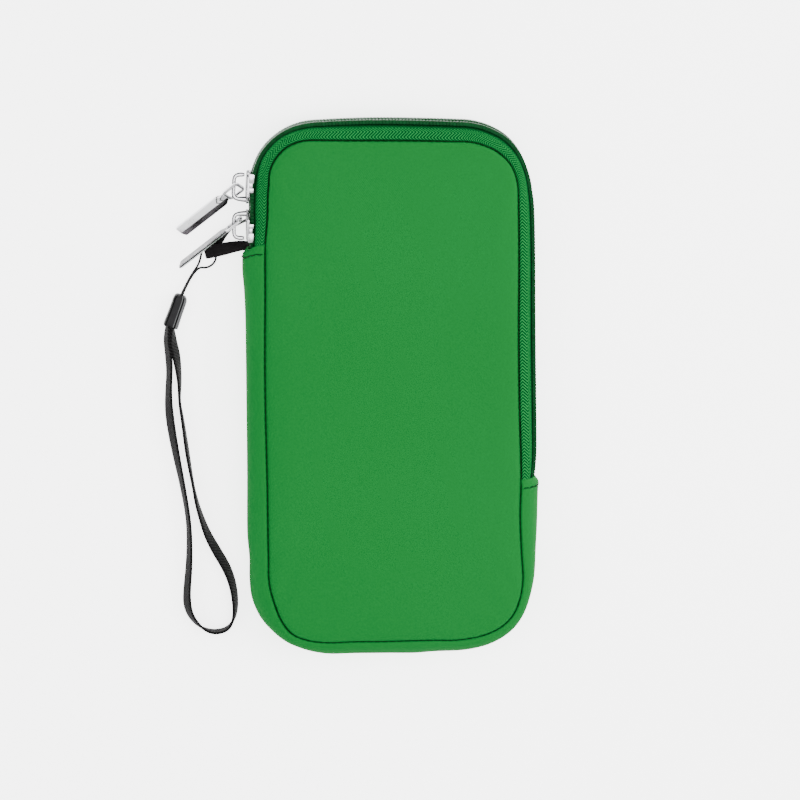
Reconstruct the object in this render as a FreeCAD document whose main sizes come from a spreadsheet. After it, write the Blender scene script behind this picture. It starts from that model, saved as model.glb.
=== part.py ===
import FreeCAD, Part
import math
import os

import Sketcher
from FreeCAD import Placement, Rotation, Vector

# A zipped phone pouch, lying on its back: X to its right, Y to its top, Z out of its front.
# The origin is the middle of the back panel's outside face.

SIZES = {
    # The whole pouch, measured at the middle of its depth
    "pouch_width": 100.4,
    "pouch_height": 190.2,
    "pouch_depth": 21,
    "top_corner_radius": 26,
    "bottom_corner_radius": 32,
    # How far the side wall stands out past the panels' edges
    "gusset_swell": 6.7,
    # Panels and seams
    "panel_thickness": 3,
    "panel_edge_round": 1.5,
    "sewing_gap": 0.1,
    "seam_thread": 0.5,
    "seam_thread_rise": 0.45,
    "seam_thread_offset": 0.3,
    "binding_width": 3,
    "binding_thickness": 1.2,
    "binding_inset": 0.5,
    # Zip: where its right end lies below the pouch's middle, its room at the left end, and its section
    "right_zip_drop": 32.4,
    "zip_end_room": 2.3,
    "chain_inset": 1.7,
    "chain_gap": 1.2,
    "coil_width": 2.4,
    "coil_thickness": 1.4,
    "coil_crown": 0.6,
    "tape_thickness": 0.6,
    "tape_seam_edge": 1.0,
    "tape_flat": 5.4,
    # Rows of stitches across the side wall's two ends
    "stitch_thread": 0.5,
    "stitch_arc_degrees": 100,
    "left_stitch_inset": 3.2,
    "right_stitch_inset": 2.2,
    # Sliders
    "slider_length": 10.7,
    "slider_nose_width": 9.2,
    "slider_tail_width": 8.2,
    "slider_corner": 1.2,
    "slider_plate": 0.9,
    "slider_edge_round": 0.4,
    "slider_lift": 0.15,
    "slider_side_room": 0.3,
    "slider_flange_room": 0.4,
    "slider_inner_room": 0.7,
    "slider_inner_length": 8.6,
    "slider_post_width": 0.8,
    "slider_post_length": 2.2,
    "slider_post_setback": 1.0,
    "crown_length": 9.4,
    "crown_height": 4.7,
    "crown_thickness": 0.9,
    "crown_width": 1.2,
    "crown_bend": 2.0,
    "crown_mouth": 0.8,
    # Pulls
    "pull_thickness": 1.2,
    "pull_width": 6.0,
    "pull_bar_length": 17.6,
    "pull_tip_corner": 0.9,
    "eye_hole_length": 4.8,
    "eye_hole_width": 3.8,
    "eye_width": 5.6,
    "eye_rim": 1.1,
    "eye_corner": 1.2,
    "neck_width": 3.2,
    "neck_length": 1.0,
    "shoulder_length": 2.0,
    # Where the sliders are parked, and how their pulls lie
    "upper_slider_degrees": 3.3,
    "upper_eye_place": 1.6,
    "upper_pull_degrees": 40,
    "upper_droop_degrees": 14,
    "upper_twist_degrees": 50,
    "slider_nose_gap": 2.7,
    "lower_eye_place": 0.6,
    "lower_pull_degrees": 39.5,
    "lower_droop_degrees": 11,
    "lower_twist_degrees": 0,
    # Ribbon tab
    "ribbon_width": 4.2,
    "ribbon_thickness": 0.6,
    "ribbon_length": 14.6,
    "ribbon_gap": 1.6,
    "ribbon_height": 3.7,
    "ribbon_drop": 0.2,
    "ribbon_root_room": 1.9,
    "ribbon_droop_degrees": 8.7,
    "ribbon_yaw_degrees": 14,
    # Wrist strap
    "cord_diameter": 0.6,
    "crimp_length": 10.9,
    "crimp_width": 4.1,
    "crimp_depth": 4.4,
    "crimp_round": 0.9,
    "crimp_reach": 23.74,
    "crimp_drop": 23.97,
    "crimp_lean_degrees": 20,
    "floor_room": 0.1,
    "webbing_width": 5.0,
    "webbing_thickness": 0.9,
}

# The strap's routes: points chosen by hand along each strand,
# counted from the pouch's left side, the zip's left end and the floor
CORD_ROUTE = (
    (-21.43, -18.91, 2.3),
    (-19.5, -14.45, 1.8),
    (-17.6, -11.15, 1.2),
    (-15.0, -8.15, 1.0),
    (-13.2, -8.85, 1.0),
    (-11.5, -8.55, 1.1),
    (-10.4, -7.25, 1.3),
    (-10.7, -5.55, 1.5),
    (-12.0, -0.55, 1.75),
    (-12.7, 0.95, 1.6),
    (-13.9, 0.25, 1.2),
    (-14.2, -2.25, 0.9),
    (-15.8, -6.25, 0.9),
    (-18.4, -10.65, 1.2),
    (-20.5, -14.35, 1.8),
    (-22.25, -18.6, 2.3),
)
WEBBING_ROUTE = (
    (-26.4, -29.05),
    (-26.9, -33.1),
    (-26.3, -37.7),
    (-25.8, -43.7),
    (-26.4, -54.2),
    (-25.9, -62.4),
    (-24.0, -74.1),
    (-21.7, -85.8),
    (-19.8, -97.6),
    (-19.5, -106.5),
    (-19.8, -115.4),
    (-20.7, -124.2),
    (-20.5, -129.9),
    (-18.6, -134.2),
    (-15.1, -137.7),
    (-10.7, -139.1),
    (-5.9, -137.7),
    (-3.8, -133.2),
    (-3.7, -127.1),
    (-4.7, -121.0),
    (-6.7, -115.4),
    (-10.2, -109.3),
    (-13.2, -103.6),
    (-15.3, -97.6),
    (-17.0, -91.7),
    (-18.1, -85.8),
    (-20.0, -74.2),
    (-21.5, -62.4),
    (-22.6, -55.7),
    (-22.4, -49.6),
    (-22.8, -44.0),
    (-23.6, -38.6),
    (-24.7, -34.0),
    (-24.98, -29.59),
)
ROUTE_BEND_SHARE = 0.45
# Ends of an edge that differ by less than this lie at one place
SAME_PLACE = 1e-4

# Lengths that several pieces share, written as expressions on the sheet
MID = "dims.pouch_depth / 2"
SIDE = "dims.pouch_width / 2"
END = "dims.pouch_height / 2"
SEAM_SIDE = "(dims.pouch_width / 2 - dims.gusset_swell + dims.sewing_gap)"
CHAIN_SIDE = "(dims.pouch_width / 2 - dims.chain_inset)"
TAPE_DROP = "(dims.coil_thickness + dims.sewing_gap)"
TAPE_SIDE = f"({CHAIN_SIDE} - {TAPE_DROP})"
PLATE_TOP = "(dims.slider_lift + dims.slider_plate)"
EYE_END = "(dims.eye_hole_length / 2 + dims.eye_rim)"
PARKED_RISE = "((dims.top_corner_radius - dims.chain_inset) * sin(dims.upper_slider_degrees))"
UPPER_SLIDER = f"({END} - dims.top_corner_radius + {PARKED_RISE})"
LOWER_SLIDER = f"({UPPER_SLIDER} - dims.slider_length - dims.slider_nose_gap)"
LEFT_ZIP_END = f"({LOWER_SLIDER} - dims.slider_length / 2 - dims.zip_end_room)"

doc = FreeCAD.newDocument("phone_pouch")
sheet = doc.addObject("Spreadsheet::Sheet", "dims")
for row, (alias, number) in enumerate(SIZES.items(), start=1):
    sheet.set(f"A{row}", alias)
    sheet.set(f"B{row}", str(number))
    sheet.setAlias(f"B{row}", alias)
doc.recompute()


def size(expression):
    """The number that an expression on the sheet comes to."""
    return float(sheet.evalExpression(expression))


def degrees(alias):
    return size(f"dims.{alias}_degrees")


def new_body(label):
    body = doc.addObject("PartDesign::Body", label)
    body.Label = label
    return body


def sketch_on(body, name, role, lift="0"):
    """A sketch on one of the body's own origin planes, lifted along the plane's normal."""
    sketch = body.newObject("Sketcher::SketchObject", name)
    plane = next(feature for feature in body.Origin.OriginFeatures if feature.Role == role)
    sketch.AttachmentSupport = (plane, [""])
    sketch.MapMode = "FlatFace"
    sketch.setExpression("AttachmentOffset.Base.z", lift)
    return sketch


def bind(sketch, constraint, expression):
    index = sketch.addConstraint(constraint)
    sketch.setExpression(f"Constraints[{index}]", expression)


def add_arc(sketch, start, end, radius, turn):
    """An arc that turns left (1) or right (-1) on its way from start to end."""
    reach = (end - start).Length / 2
    left = Vector(start.y - end.y, end.x - start.x, 0).normalize()
    centre = (start + end) / 2 + left * (turn * math.sqrt(radius**2 - reach**2))
    first, last = (start, end) if turn > 0 else (end, start)
    first_angle = math.atan2(first.y - centre.y, first.x - centre.x)
    last_angle = math.atan2(last.y - centre.y, last.x - centre.x)
    if last_angle < first_angle:
        last_angle += 2 * math.pi
    circle = Part.Circle(centre, Vector(0, 0, 1), radius)
    return sketch.addGeometry(Part.ArcOfCircle(circle, first_angle, last_angle))


def draw(sketch, points, arcs=None, closed=True):
    """Joins points, each bound to the sheet, by lines, or by arcs where arcs gives (radius, turn)."""
    arcs = arcs or {}
    count = len(points)
    places = [Vector(size(across), size(up), 0) for across, up in points]
    held = {}
    for edge in range(count if closed else count - 1):
        following = (edge + 1) % count
        ends = (1, 2)
        if edge in arcs:
            radius, turn = arcs[edge]
            shape = add_arc(sketch, places[edge], places[following], size(radius), turn)
            bind(sketch, Sketcher.Constraint("Radius", shape, size(radius)), radius)
            ends = (1, 2) if turn > 0 else (2, 1)
        else:
            shape = sketch.addGeometry(Part.LineSegment(places[edge], places[following]))
        for vertex, end in zip((edge, following), ends):
            if vertex in held:
                sketch.addConstraint(Sketcher.Constraint("Coincident", *held[vertex], shape, end))
                continue
            held[vertex] = (shape, end)
            across, up = points[vertex]
            bind(sketch, Sketcher.Constraint("DistanceX", -1, 1, shape, end, size(across)), across)
            bind(sketch, Sketcher.Constraint("DistanceY", -1, 1, shape, end, size(up)), up)


def pad(body, name, sketch, length, both_ways=False, backwards=False):
    feature = body.newObject("PartDesign::Pad", name)
    feature.Profile = sketch
    feature.setExpression("Length", length)
    feature.SideType = "Symmetric" if both_ways else "One side"
    feature.Reversed = backwards
    doc.recompute()
    return feature


def pocket(body, name, sketch, length, both_ways=False, backwards=False):
    """Cuts, and makes sure that the cut took something away."""
    before = body.Shape.Volume
    feature = body.newObject("PartDesign::Pocket", name)
    feature.Profile = sketch
    feature.setExpression("Length", length)
    feature.SideType = "Symmetric" if both_ways else "One side"
    feature.Reversed = backwards
    doc.recompute()
    if not body.Shape.Volume < before:
        raise RuntimeError(f"{name} cuts nothing")
    return feature


def pipe(body, name, section, path):
    feature = body.newObject("PartDesign::AdditivePipe", name)
    feature.Profile = section
    feature.Spine = (path, [f"Edge{number + 1}" for number in range(path.GeometryCount)])
    doc.recompute()
    return feature


def round_edges(body, name, radius, chosen):
    """Fillets the edges of the body's last feature that chosen picks out."""
    base = body.Tip
    names = [f"Edge{i + 1}" for i, edge in enumerate(base.Shape.Edges) if chosen(edge)]
    feature = body.newObject("PartDesign::Fillet", name)
    feature.Base = (base, names)
    feature.setExpression("Radius", radius)
    doc.recompute()
    return feature


def lies_at(edge, axis, place):
    """Whether both ends of an edge lie at one place along an axis."""
    return all(math.isclose(getattr(v.Point, axis), place, abs_tol=SAME_PLACE) for v in edge.Vertexes)


def bulge_radius(half_chord, rise):
    return f"(({half_chord})^2 + ({rise})^2) / (2 * ({rise}))"


def pouch_outline(inset):
    """The pouch's rounded outline, inset evenly, from the middle of its left side downwards."""
    side = f"({SIDE} - {inset})"
    end = f"({END} - {inset})"
    low = f"({END} - dims.bottom_corner_radius)"
    high = f"({END} - dims.top_corner_radius)"
    low_side = f"({SIDE} - dims.bottom_corner_radius)"
    high_side = f"({SIDE} - dims.top_corner_radius)"
    low_bend = f"dims.bottom_corner_radius - {inset}"
    high_bend = f"dims.top_corner_radius - {inset}"
    points = [
        (f"-{side}", "0"),
        (f"-{side}", f"-{low}"),
        (f"-{low_side}", f"-{end}"),
        (low_side, f"-{end}"),
        (side, f"-{low}"),
        (side, high),
        (high_side, end),
        (f"-{high_side}", end),
        (f"-{side}", high),
    ]
    arcs = {1: (low_bend, 1), 3: (low_bend, 1), 5: (high_bend, 1), 7: (high_bend, 1)}
    return points, arcs


def make_panel(label, lift, outer_face):
    """A flat panel of padded fabric with its outside edge rounded over."""
    body = new_body(label)
    outline = sketch_on(body, f"{label}_outline", "XY_Plane", lift)
    draw(outline, *pouch_outline("dims.gusset_swell"))
    pad(body, f"{label}_sheet", outline, "dims.panel_thickness")
    place = size(outer_face)
    round_edges(body, f"{label}_edge", "dims.panel_edge_round", lambda e: lies_at(e, "z", place))
    return body


def make_binding(label, lift):
    """The tape that binds the raw edges inside a seam, all the way round."""
    body = new_body(label)
    outline = sketch_on(body, f"{label}_outline", "XY_Plane", lift)
    draw(outline, *pouch_outline("(dims.gusset_swell + dims.binding_inset)"))
    inner = "(dims.gusset_swell + dims.binding_inset + dims.binding_width)"
    draw(outline, *pouch_outline(inner))
    pad(body, f"{label}_strip", outline, "dims.binding_thickness")
    return body


def make_seam_thread(label, height):
    """The sewing thread at the bottom of the groove between a panel and the side wall."""
    body = new_body(label)
    inset = "(dims.gusset_swell - dims.seam_thread_offset)"
    path = sketch_on(body, f"{label}_path", "XY_Plane", height)
    draw(path, *pouch_outline(inset))
    section = sketch_on(body, f"{label}_section", "XZ_Plane")
    centre = Vector(-size(f"{SIDE} - {inset}"), size(height), 0)
    circle = section.addGeometry(Part.Circle(centre, Vector(0, 0, 1), size("dims.seam_thread / 2")))
    bind(section, Sketcher.Constraint("Radius", circle, size("dims.seam_thread / 2")), "dims.seam_thread / 2")
    across = f"-({SIDE} - {inset})"
    bind(section, Sketcher.Constraint("DistanceX", -1, 1, circle, 3, centre.x), across)
    bind(section, Sketcher.Constraint("DistanceY", -1, 1, circle, 3, centre.y), height)
    pipe(body, f"{label}_ring", section, path)
    return body


def wall_path(body, name, upper):
    """The middle line of the side wall: the zip's part over the top, or the plain part below."""
    points, arcs = pouch_outline("0")
    left = (f"-({SIDE})", f"{LEFT_ZIP_END} + {'dims.sewing_gap' if upper else '0'}")
    right = (SIDE, f"-dims.right_zip_drop + {'dims.sewing_gap' if upper else '0'}")
    path = sketch_on(body, name, "XY_Plane", MID)
    if upper:
        chosen = [left, points[8], points[7], points[6], points[5], right]
        turns = {1: (arcs[7][0], -1), 3: (arcs[5][0], -1)}
    else:
        chosen = [left, points[1], points[2], points[3], points[4], right]
        turns = {1: arcs[1], 3: arcs[3]}
    draw(path, chosen, turns, closed=False)
    return path


def make_gusset():
    """The plain part of the side wall: it bows outwards between the two panels' edges."""
    body = new_body("bottom_gusset")
    path = wall_path(body, "gusset_path", upper=False)
    section = sketch_on(body, "gusset_section", "XZ_Plane", f"-{LEFT_ZIP_END}")
    outer_low = "dims.panel_edge_round"
    inner_low = "(dims.panel_edge_round + dims.panel_thickness)"
    outer_half = f"({MID} - {outer_low})"
    inner_half = f"({MID} - {inner_low})"
    outer_rise = "(dims.gusset_swell - dims.sewing_gap)"
    inner_rise = "(dims.gusset_swell - dims.sewing_gap - dims.panel_thickness)"
    points = [
        (f"-{SEAM_SIDE}", f"dims.pouch_depth - {outer_low}"),
        (f"-{SEAM_SIDE}", outer_low),
        (f"-{SEAM_SIDE}", inner_low),
        (f"-{SEAM_SIDE}", f"dims.pouch_depth - {inner_low}"),
    ]
    arcs = {0: (bulge_radius(outer_half, outer_rise), 1), 2: (bulge_radius(inner_half, inner_rise), -1)}
    draw(section, points, arcs)
    pipe(body, "gusset_wall", section, path)
    return body


def height_from_middle(side, distance):
    """A height on the front (1) or the back (-1) of the pouch's middle."""
    return f"{MID} + {side} * ({distance})"


def make_zip_tape(label, side):
    """One of the zip's two tapes: flat beside the coil, then sloping in to its panel's seam."""
    body = new_body(label)
    path = wall_path(body, f"{label}_path", upper=True)
    section = sketch_on(body, f"{label}_section", "XZ_Plane", f"-({LEFT_ZIP_END} + dims.sewing_gap)")
    seam = f"({MID} - dims.panel_edge_round)"
    inner_face = f"-({TAPE_SIDE} - dims.tape_thickness)"
    points = [
        (f"-{SEAM_SIDE}", height_from_middle(side, seam)),
        (f"-{TAPE_SIDE}", height_from_middle(side, "dims.tape_flat")),
        (f"-{TAPE_SIDE}", height_from_middle(side, "dims.chain_gap / 2")),
        (inner_face, height_from_middle(side, "dims.chain_gap / 2")),
        (inner_face, height_from_middle(side, "dims.tape_flat")),
        (f"-{SEAM_SIDE}", height_from_middle(side, f"{seam} - dims.tape_seam_edge")),
    ]
    draw(section, points)
    pipe(body, f"{label}_strip", section, path)
    return body


def make_zip_coil(label, side):
    """One row of the zip's coil, as a strip with a rounded back."""
    body = new_body(label)
    path = wall_path(body, f"{label}_path", upper=True)
    section = sketch_on(body, f"{label}_section", "XZ_Plane", f"-({LEFT_ZIP_END} + dims.sewing_gap)")
    near = height_from_middle(side, "dims.chain_gap / 2")
    far = height_from_middle(side, "dims.chain_gap / 2 + dims.coil_width")
    base = f"-({CHAIN_SIDE} - dims.coil_thickness)"
    shoulder = f"-({CHAIN_SIDE} - dims.coil_crown)"
    points = [(base, near), (shoulder, near), (shoulder, far), (base, far)]
    arcs = {1: (bulge_radius("dims.coil_width / 2", "dims.coil_crown"), -side)}
    draw(section, points, arcs)
    pipe(body, f"{label}_row", section, path)
    return body


def make_topstitch(label, side, height):
    """A row of stitches across the bowed wall, on the left (-1) or the right (1)."""
    outer_half = f"({MID} - dims.panel_edge_round)"
    bow = bulge_radius(outer_half, "(dims.gusset_swell - dims.sewing_gap)")
    row = doc.addObject("Part::Torus", label)
    row.Label = label
    row.setExpression("Radius1", f"{bow} + dims.sewing_gap + dims.stitch_thread / 2")
    row.setExpression("Radius2", "dims.stitch_thread / 2")
    row.setExpression("Angle3", "dims.stitch_arc_degrees")
    # The torus turns about Y, with the middle of its arc pointing out of the pouch's side.
    half_turn = degrees("stitch_arc") / 2
    facing = 0 if side > 0 else 180
    turn = Rotation(Vector(1, 0, 0), 90) * Rotation(Vector(0, 0, 1), facing - half_turn)
    centre = Vector(side * size(f"{SIDE} - {bow}"), size(height), size(MID))
    row.Placement = Placement(centre, turn)
    return row


def trapezium(length, nose_width, tail_width):
    """A slider's plate, seen from outside, nose first, with cut corners."""
    nose = f"-({length}) / 2"
    tail = f"({length}) / 2"
    corner = "dims.slider_corner"
    half_nose = f"({nose_width}) / 2"
    half_tail = f"({tail_width}) / 2"
    return [
        (f"{nose} + {corner}", f"-({half_nose})"),
        (f"{tail} - {corner}", f"-({half_tail})"),
        (tail, f"-({half_tail}) + {corner}"),
        (tail, f"{half_tail} - {corner}"),
        (f"{tail} - {corner}", half_tail),
        (f"{nose} + {corner}", half_nose),
        (nose, f"{half_nose} - {corner}"),
        (nose, f"-({half_nose}) + {corner}"),
    ]


def crown_outline():
    """The bridge over a slider: its foot is at the nose, and its free end hangs over the tail."""
    half = "dims.crown_length / 2"
    inner_half = f"({half} - dims.crown_thickness)"
    top = f"({PLATE_TOP} + dims.crown_height)"
    inner_top = f"({top} - dims.crown_thickness)"
    spring = f"({top} - dims.crown_bend)"
    straight = f"({half} - dims.crown_bend)"
    foot = f"({PLATE_TOP} - dims.slider_plate / 2)"
    mouth = f"({PLATE_TOP} + dims.crown_mouth)"
    points = [
        (foot, f"-({half})"),
        (spring, f"-({half})"),
        (top, f"-{straight}"),
        (top, straight),
        (spring, half),
        (mouth, half),
        (mouth, inner_half),
        (spring, inner_half),
        (inner_top, straight),
        (inner_top, f"-{straight}"),
        (spring, f"-{inner_half}"),
        (foot, f"-{inner_half}"),
    ]
    inner_bend = "dims.crown_bend - dims.crown_thickness"
    arcs = {
        1: ("dims.crown_bend", 1),
        3: ("dims.crown_bend", 1),
        7: (inner_bend, -1),
        9: (inner_bend, -1),
    }
    return points, arcs


def make_slider(label, place):
    """A slider with X out of the zip, Y to its tail and Z across, on the coil's back."""
    body = new_body(label)
    length = "dims.slider_length"
    nose, tail = "dims.slider_nose_width", "dims.slider_tail_width"
    flange_end = f"({TAPE_DROP} - dims.slider_flange_room)"
    shell = sketch_on(body, f"{label}_shell_outline", "YZ_Plane", f"-{flange_end}")
    draw(shell, trapezium(length, nose, tail))
    pad(body, f"{label}_shell", shell, f"{flange_end} + {PLATE_TOP}")
    channel = sketch_on(body, f"{label}_channel_outline", "YZ_Plane", f"-{flange_end}")
    half_channel = "(dims.chain_gap / 2 + dims.coil_width + dims.slider_side_room)"
    corners = [(f"-{length}", f"-{half_channel}"), (length, f"-{half_channel}")]
    corners += [(length, half_channel), (f"-{length}", half_channel)]
    draw(channel, corners)
    pocket(body, f"{label}_channel", channel, f"{flange_end} + dims.slider_lift", backwards=True)
    top = size(PLATE_TOP)
    round_edges(body, f"{label}_top_edge", "dims.slider_edge_round", lambda e: lies_at(e, "x", top))
    inner_face = f"({TAPE_DROP} + dims.tape_thickness + dims.slider_inner_room)"
    post = sketch_on(body, f"{label}_post_outline", "YZ_Plane", f"-{inner_face}")
    post_start = f"-({length}) / 2 + dims.slider_post_setback"
    post_end = f"{post_start} + dims.slider_post_length"
    half_post = "dims.slider_post_width / 2"
    corners = [(post_start, f"-({half_post})"), (post_end, f"-({half_post})")]
    corners += [(post_end, half_post), (post_start, half_post)]
    draw(post, corners)
    pad(body, f"{label}_post", post, f"{inner_face} + dims.slider_lift + dims.slider_plate / 2")
    plate = sketch_on(body, f"{label}_plate_outline", "YZ_Plane", f"-{inner_face}")
    draw(plate, trapezium("dims.slider_inner_length", nose, tail))
    pad(body, f"{label}_inner_plate", plate, "dims.slider_plate", backwards=True)
    crown = sketch_on(body, f"{label}_crown_outline", "XY_Plane")
    draw(crown, *crown_outline())
    pad(body, f"{label}_crown", crown, "dims.crown_width", both_ways=True)
    body.Placement = place
    return body


def make_pull(label, place):
    """A pull with X to its tip and Z across its face; its eye is round the origin."""
    body = new_body(label)
    neck = f"({EYE_END} + dims.neck_length)"
    shoulder = f"({neck} + dims.shoulder_length)"
    tip = f"({shoulder} + dims.pull_bar_length)"
    upper = [
        (f"-{EYE_END}", "dims.eye_width / 2 - dims.eye_corner"),
        (f"-{EYE_END} + dims.eye_corner", "dims.eye_width / 2"),
        (f"{EYE_END} - dims.eye_corner", "dims.eye_width / 2"),
        (EYE_END, "dims.neck_width / 2"),
        (neck, "dims.neck_width / 2"),
        (shoulder, "dims.pull_width / 2"),
        (f"{tip} - dims.pull_tip_corner", "dims.pull_width / 2"),
        (tip, "dims.pull_width / 2 - dims.pull_tip_corner"),
    ]
    lower = [(along, f"-({across})") for along, across in reversed(upper)]
    outline = sketch_on(body, f"{label}_outline", "XZ_Plane")
    draw(outline, upper + lower)
    pad(body, f"{label}_bar", outline, "dims.pull_thickness", both_ways=True)
    hole = sketch_on(body, f"{label}_eye_outline", "XZ_Plane")
    half_long = "dims.eye_hole_length / 2"
    half_wide = "dims.eye_hole_width / 2"
    corners = [(f"-({half_long})", f"-({half_wide})"), (half_long, f"-({half_wide})")]
    corners += [(half_long, half_wide), (f"-({half_long})", half_wide)]
    draw(hole, corners)
    pocket(body, f"{label}_eye", hole, "2 * dims.pull_thickness", both_ways=True)
    body.Placement = place
    return body


def eye_place(slider_place, along):
    """The middle of a crown's bar, where a pull's eye hangs, towards the slider's nose."""
    bar = size(f"{PLATE_TOP} + dims.crown_height - dims.crown_thickness / 2")
    return slider_place.multVec(Vector(bar, -size(along), 0))


def pull_place(eye, name):
    """A pull's lie: swung down from straight out, drooping to the floor and twisted on its length."""
    swing = Rotation(Vector(0, 0, 1), 180 + degrees(f"{name}_pull"))
    droop = Rotation(Vector(0, 1, 0), degrees(f"{name}_droop"))
    twist = Rotation(Vector(1, 0, 0), degrees(f"{name}_twist"))
    return Placement(eye, swing * droop * twist)


def make_ribbon():
    """A folded ribbon whose loop holds the cord; its ends go into the seam at the zip's left end."""
    body = new_body("ribbon_tab")
    outer = "(dims.ribbon_gap / 2 + dims.ribbon_thickness)"
    inner = "dims.ribbon_gap / 2"
    turn = f"(dims.ribbon_length - {outer})"
    points = [
        ("0", outer),
        ("0", inner),
        (turn, inner),
        (f"{turn} + {inner}", "0"),
        (turn, f"-({inner})"),
        ("0", f"-({inner})"),
        ("0", f"-{outer}"),
        (turn, f"-{outer}"),
        (f"{turn} + {outer}", "0"),
        (turn, outer),
    ]
    arcs = {2: (inner, -1), 3: (inner, -1), 7: (outer, 1), 8: (outer, 1)}
    fold = sketch_on(body, "ribbon_fold", "XZ_Plane")
    draw(fold, points, arcs)
    pad(body, "ribbon_loop", fold, "dims.ribbon_width", both_ways=True)
    root = Vector(
        -size(f"{TAPE_SIDE} + dims.ribbon_root_room"),
        size(f"{LEFT_ZIP_END} - dims.ribbon_drop"),
        size("dims.ribbon_height"),
    )
    yaw = Rotation(Vector(0, 0, 1), 180 + degrees("ribbon_yaw"))
    droop = Rotation(Vector(0, 1, 0), degrees("ribbon_droop"))
    body.Placement = Placement(root, yaw * droop)
    return body


def strap_point(across, up, rise):
    """A place on the strap, from the pouch's left side, the zip's left end and the floor."""
    return Vector(across - size(SIDE), up + size(LEFT_ZIP_END), rise)


def make_crimp():
    """The moulded bead that joins the cord to the webbing, lying on the floor."""
    body = new_body("strap_crimp")
    half_long, half_wide = "dims.crimp_length / 2", "dims.crimp_width / 2"
    outline = sketch_on(body, "crimp_outline", "XY_Plane")
    corners = [(f"-({half_wide})", f"-({half_long})"), (half_wide, f"-({half_long})")]
    corners += [(half_wide, half_long), (f"-({half_wide})", half_long)]
    draw(outline, corners)
    pad(body, "crimp_block", outline, "dims.crimp_depth")
    end = size(half_long)

    def runs_along(edge):
        first, last = (vertex.Point.y for vertex in edge.Vertexes)
        return not math.isclose(first, last, abs_tol=end)

    round_edges(body, "crimp_edges", "dims.crimp_round", runs_along)
    place = strap_point(-size("dims.crimp_reach"), -size("dims.crimp_drop"), size("dims.floor_room"))
    body.Placement = Placement(place, Rotation(Vector(0, 0, 1), -degrees("crimp_lean")))
    return body


def route_wire(points):
    """Straight runs joined by tangent arcs, each as large as its two runs allow."""
    edges, radii = [], []
    start = points[0]
    for before, corner, after in zip(points, points[1:], points[2:]):
        reach = ROUTE_BEND_SHARE * min((corner - before).Length, (after - corner).Length)
        arriving = (corner - before).normalize()
        leaving = (after - corner).normalize()
        half_turn = arriving.getAngle(leaving) / 2
        radius = reach / math.tan(half_turn)
        inwards = (leaving - arriving).normalize()
        middle = corner + inwards * (radius / math.cos(half_turn) - radius)
        first, last = corner - arriving * reach, corner + leaving * reach
        edges += [Part.LineSegment(start, first).toShape(), Part.Arc(first, middle, last).toShape()]
        radii.append(radius)
        start = last
    edges.append(Part.LineSegment(start, points[-1]).toShape())
    return Part.Wire(edges), radii


def sweep_route(label, points, section):
    """A strand of one section along its route, checked against section times length."""
    wire, radii = route_wire(points)
    strand = doc.addObject("Part::Feature", label)
    strand.Label = label
    strand.Shape = wire.makePipe(section)
    expected = section.Area * wire.Length
    print(f"{label}: {wire.Length:.1f} long, tightest radius {min(radii):.2f}, "
          f"volume {strand.Shape.Volume:.2f} of {expected:.2f}")
    return strand


def make_cord():
    """The thin cord: from the bead through the ribbon's loop and back beside itself."""
    points = [strap_point(*point) for point in CORD_ROUTE]
    circle = Part.Circle(points[0], points[1] - points[0], size("dims.cord_diameter / 2"))
    return sweep_route("strap_cord", points, Part.Face(Part.Wire(circle.toShape())))


def make_webbing():
    """The wrist loop: flat webbing lying on its edge, both ends in the bead."""
    rise = size("dims.floor_room + dims.webbing_width / 2")
    points = [strap_point(across, up, rise) for across, up in WEBBING_ROUTE]
    along = (points[1] - points[0]).normalize()
    sideways = Vector(-along.y, along.x, 0) * size("dims.webbing_thickness / 2")
    upwards = Vector(0, 0, size("dims.webbing_width / 2"))
    corners = [sideways + upwards, sideways - upwards, -sideways - upwards, upwards - sideways]
    outline = Part.makePolygon([points[0] + corner for corner in corners + corners[:1]])
    return sweep_route("wrist_webbing", points, Part.Face(outline))


front_face = "dims.pouch_depth"
back_panel = make_panel("back_panel", "0", "0")
front_panel = make_panel("front_panel", f"{front_face} - dims.panel_thickness", front_face)
back_binding = make_binding("back_seam_binding", "dims.panel_thickness + dims.sewing_gap")
front_inside = f"{front_face} - dims.panel_thickness - dims.sewing_gap"
front_binding = make_binding("front_seam_binding", f"{front_inside} - dims.binding_thickness")
thread_depth = "(dims.panel_edge_round - dims.seam_thread_rise)"
back_thread = make_seam_thread("back_seam_thread", thread_depth)
front_thread = make_seam_thread("front_seam_thread", f"{front_face} - {thread_depth}")
gusset = make_gusset()
tapes = [make_zip_tape("front_zip_tape", 1), make_zip_tape("back_zip_tape", -1)]
coils = [make_zip_coil("front_zip_coil", 1), make_zip_coil("back_zip_coil", -1)]
left_stitches = make_topstitch("left_topstitch", -1, f"{LEFT_ZIP_END} - dims.left_stitch_inset")
right_stitches = make_topstitch("right_topstitch", 1, "-(dims.right_zip_drop + dims.right_stitch_inset)")

# The upper slider is parked just inside the top left corner, nose down; the lower one nose up.
corner_centre = Vector(
    -size(f"{SIDE} - dims.top_corner_radius"), size(f"{END} - dims.top_corner_radius"), size(MID)
)
corner_turn = Rotation(Vector(0, 0, 1), -degrees("upper_slider"))
corner_reach = Vector(-size("dims.top_corner_radius - dims.chain_inset"), 0, 0)
upper_place = Placement(
    corner_centre + corner_turn.multVec(corner_reach), corner_turn * Rotation(Vector(0, 1, 0), 180)
)
lower_place = Placement(
    Vector(-size(CHAIN_SIDE), size(LOWER_SLIDER), size(MID)),
    Rotation(Vector(0, 0, 1), 180),
)
sliders = [make_slider("upper_slider", upper_place), make_slider("lower_slider", lower_place)]
upper_eye = eye_place(upper_place, "dims.upper_eye_place")
lower_eye = eye_place(lower_place, "dims.lower_eye_place")
pulls = [
    make_pull("upper_pull", pull_place(upper_eye, "upper")),
    make_pull("lower_pull", pull_place(lower_eye, "lower")),
]
ribbon = make_ribbon()
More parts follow.
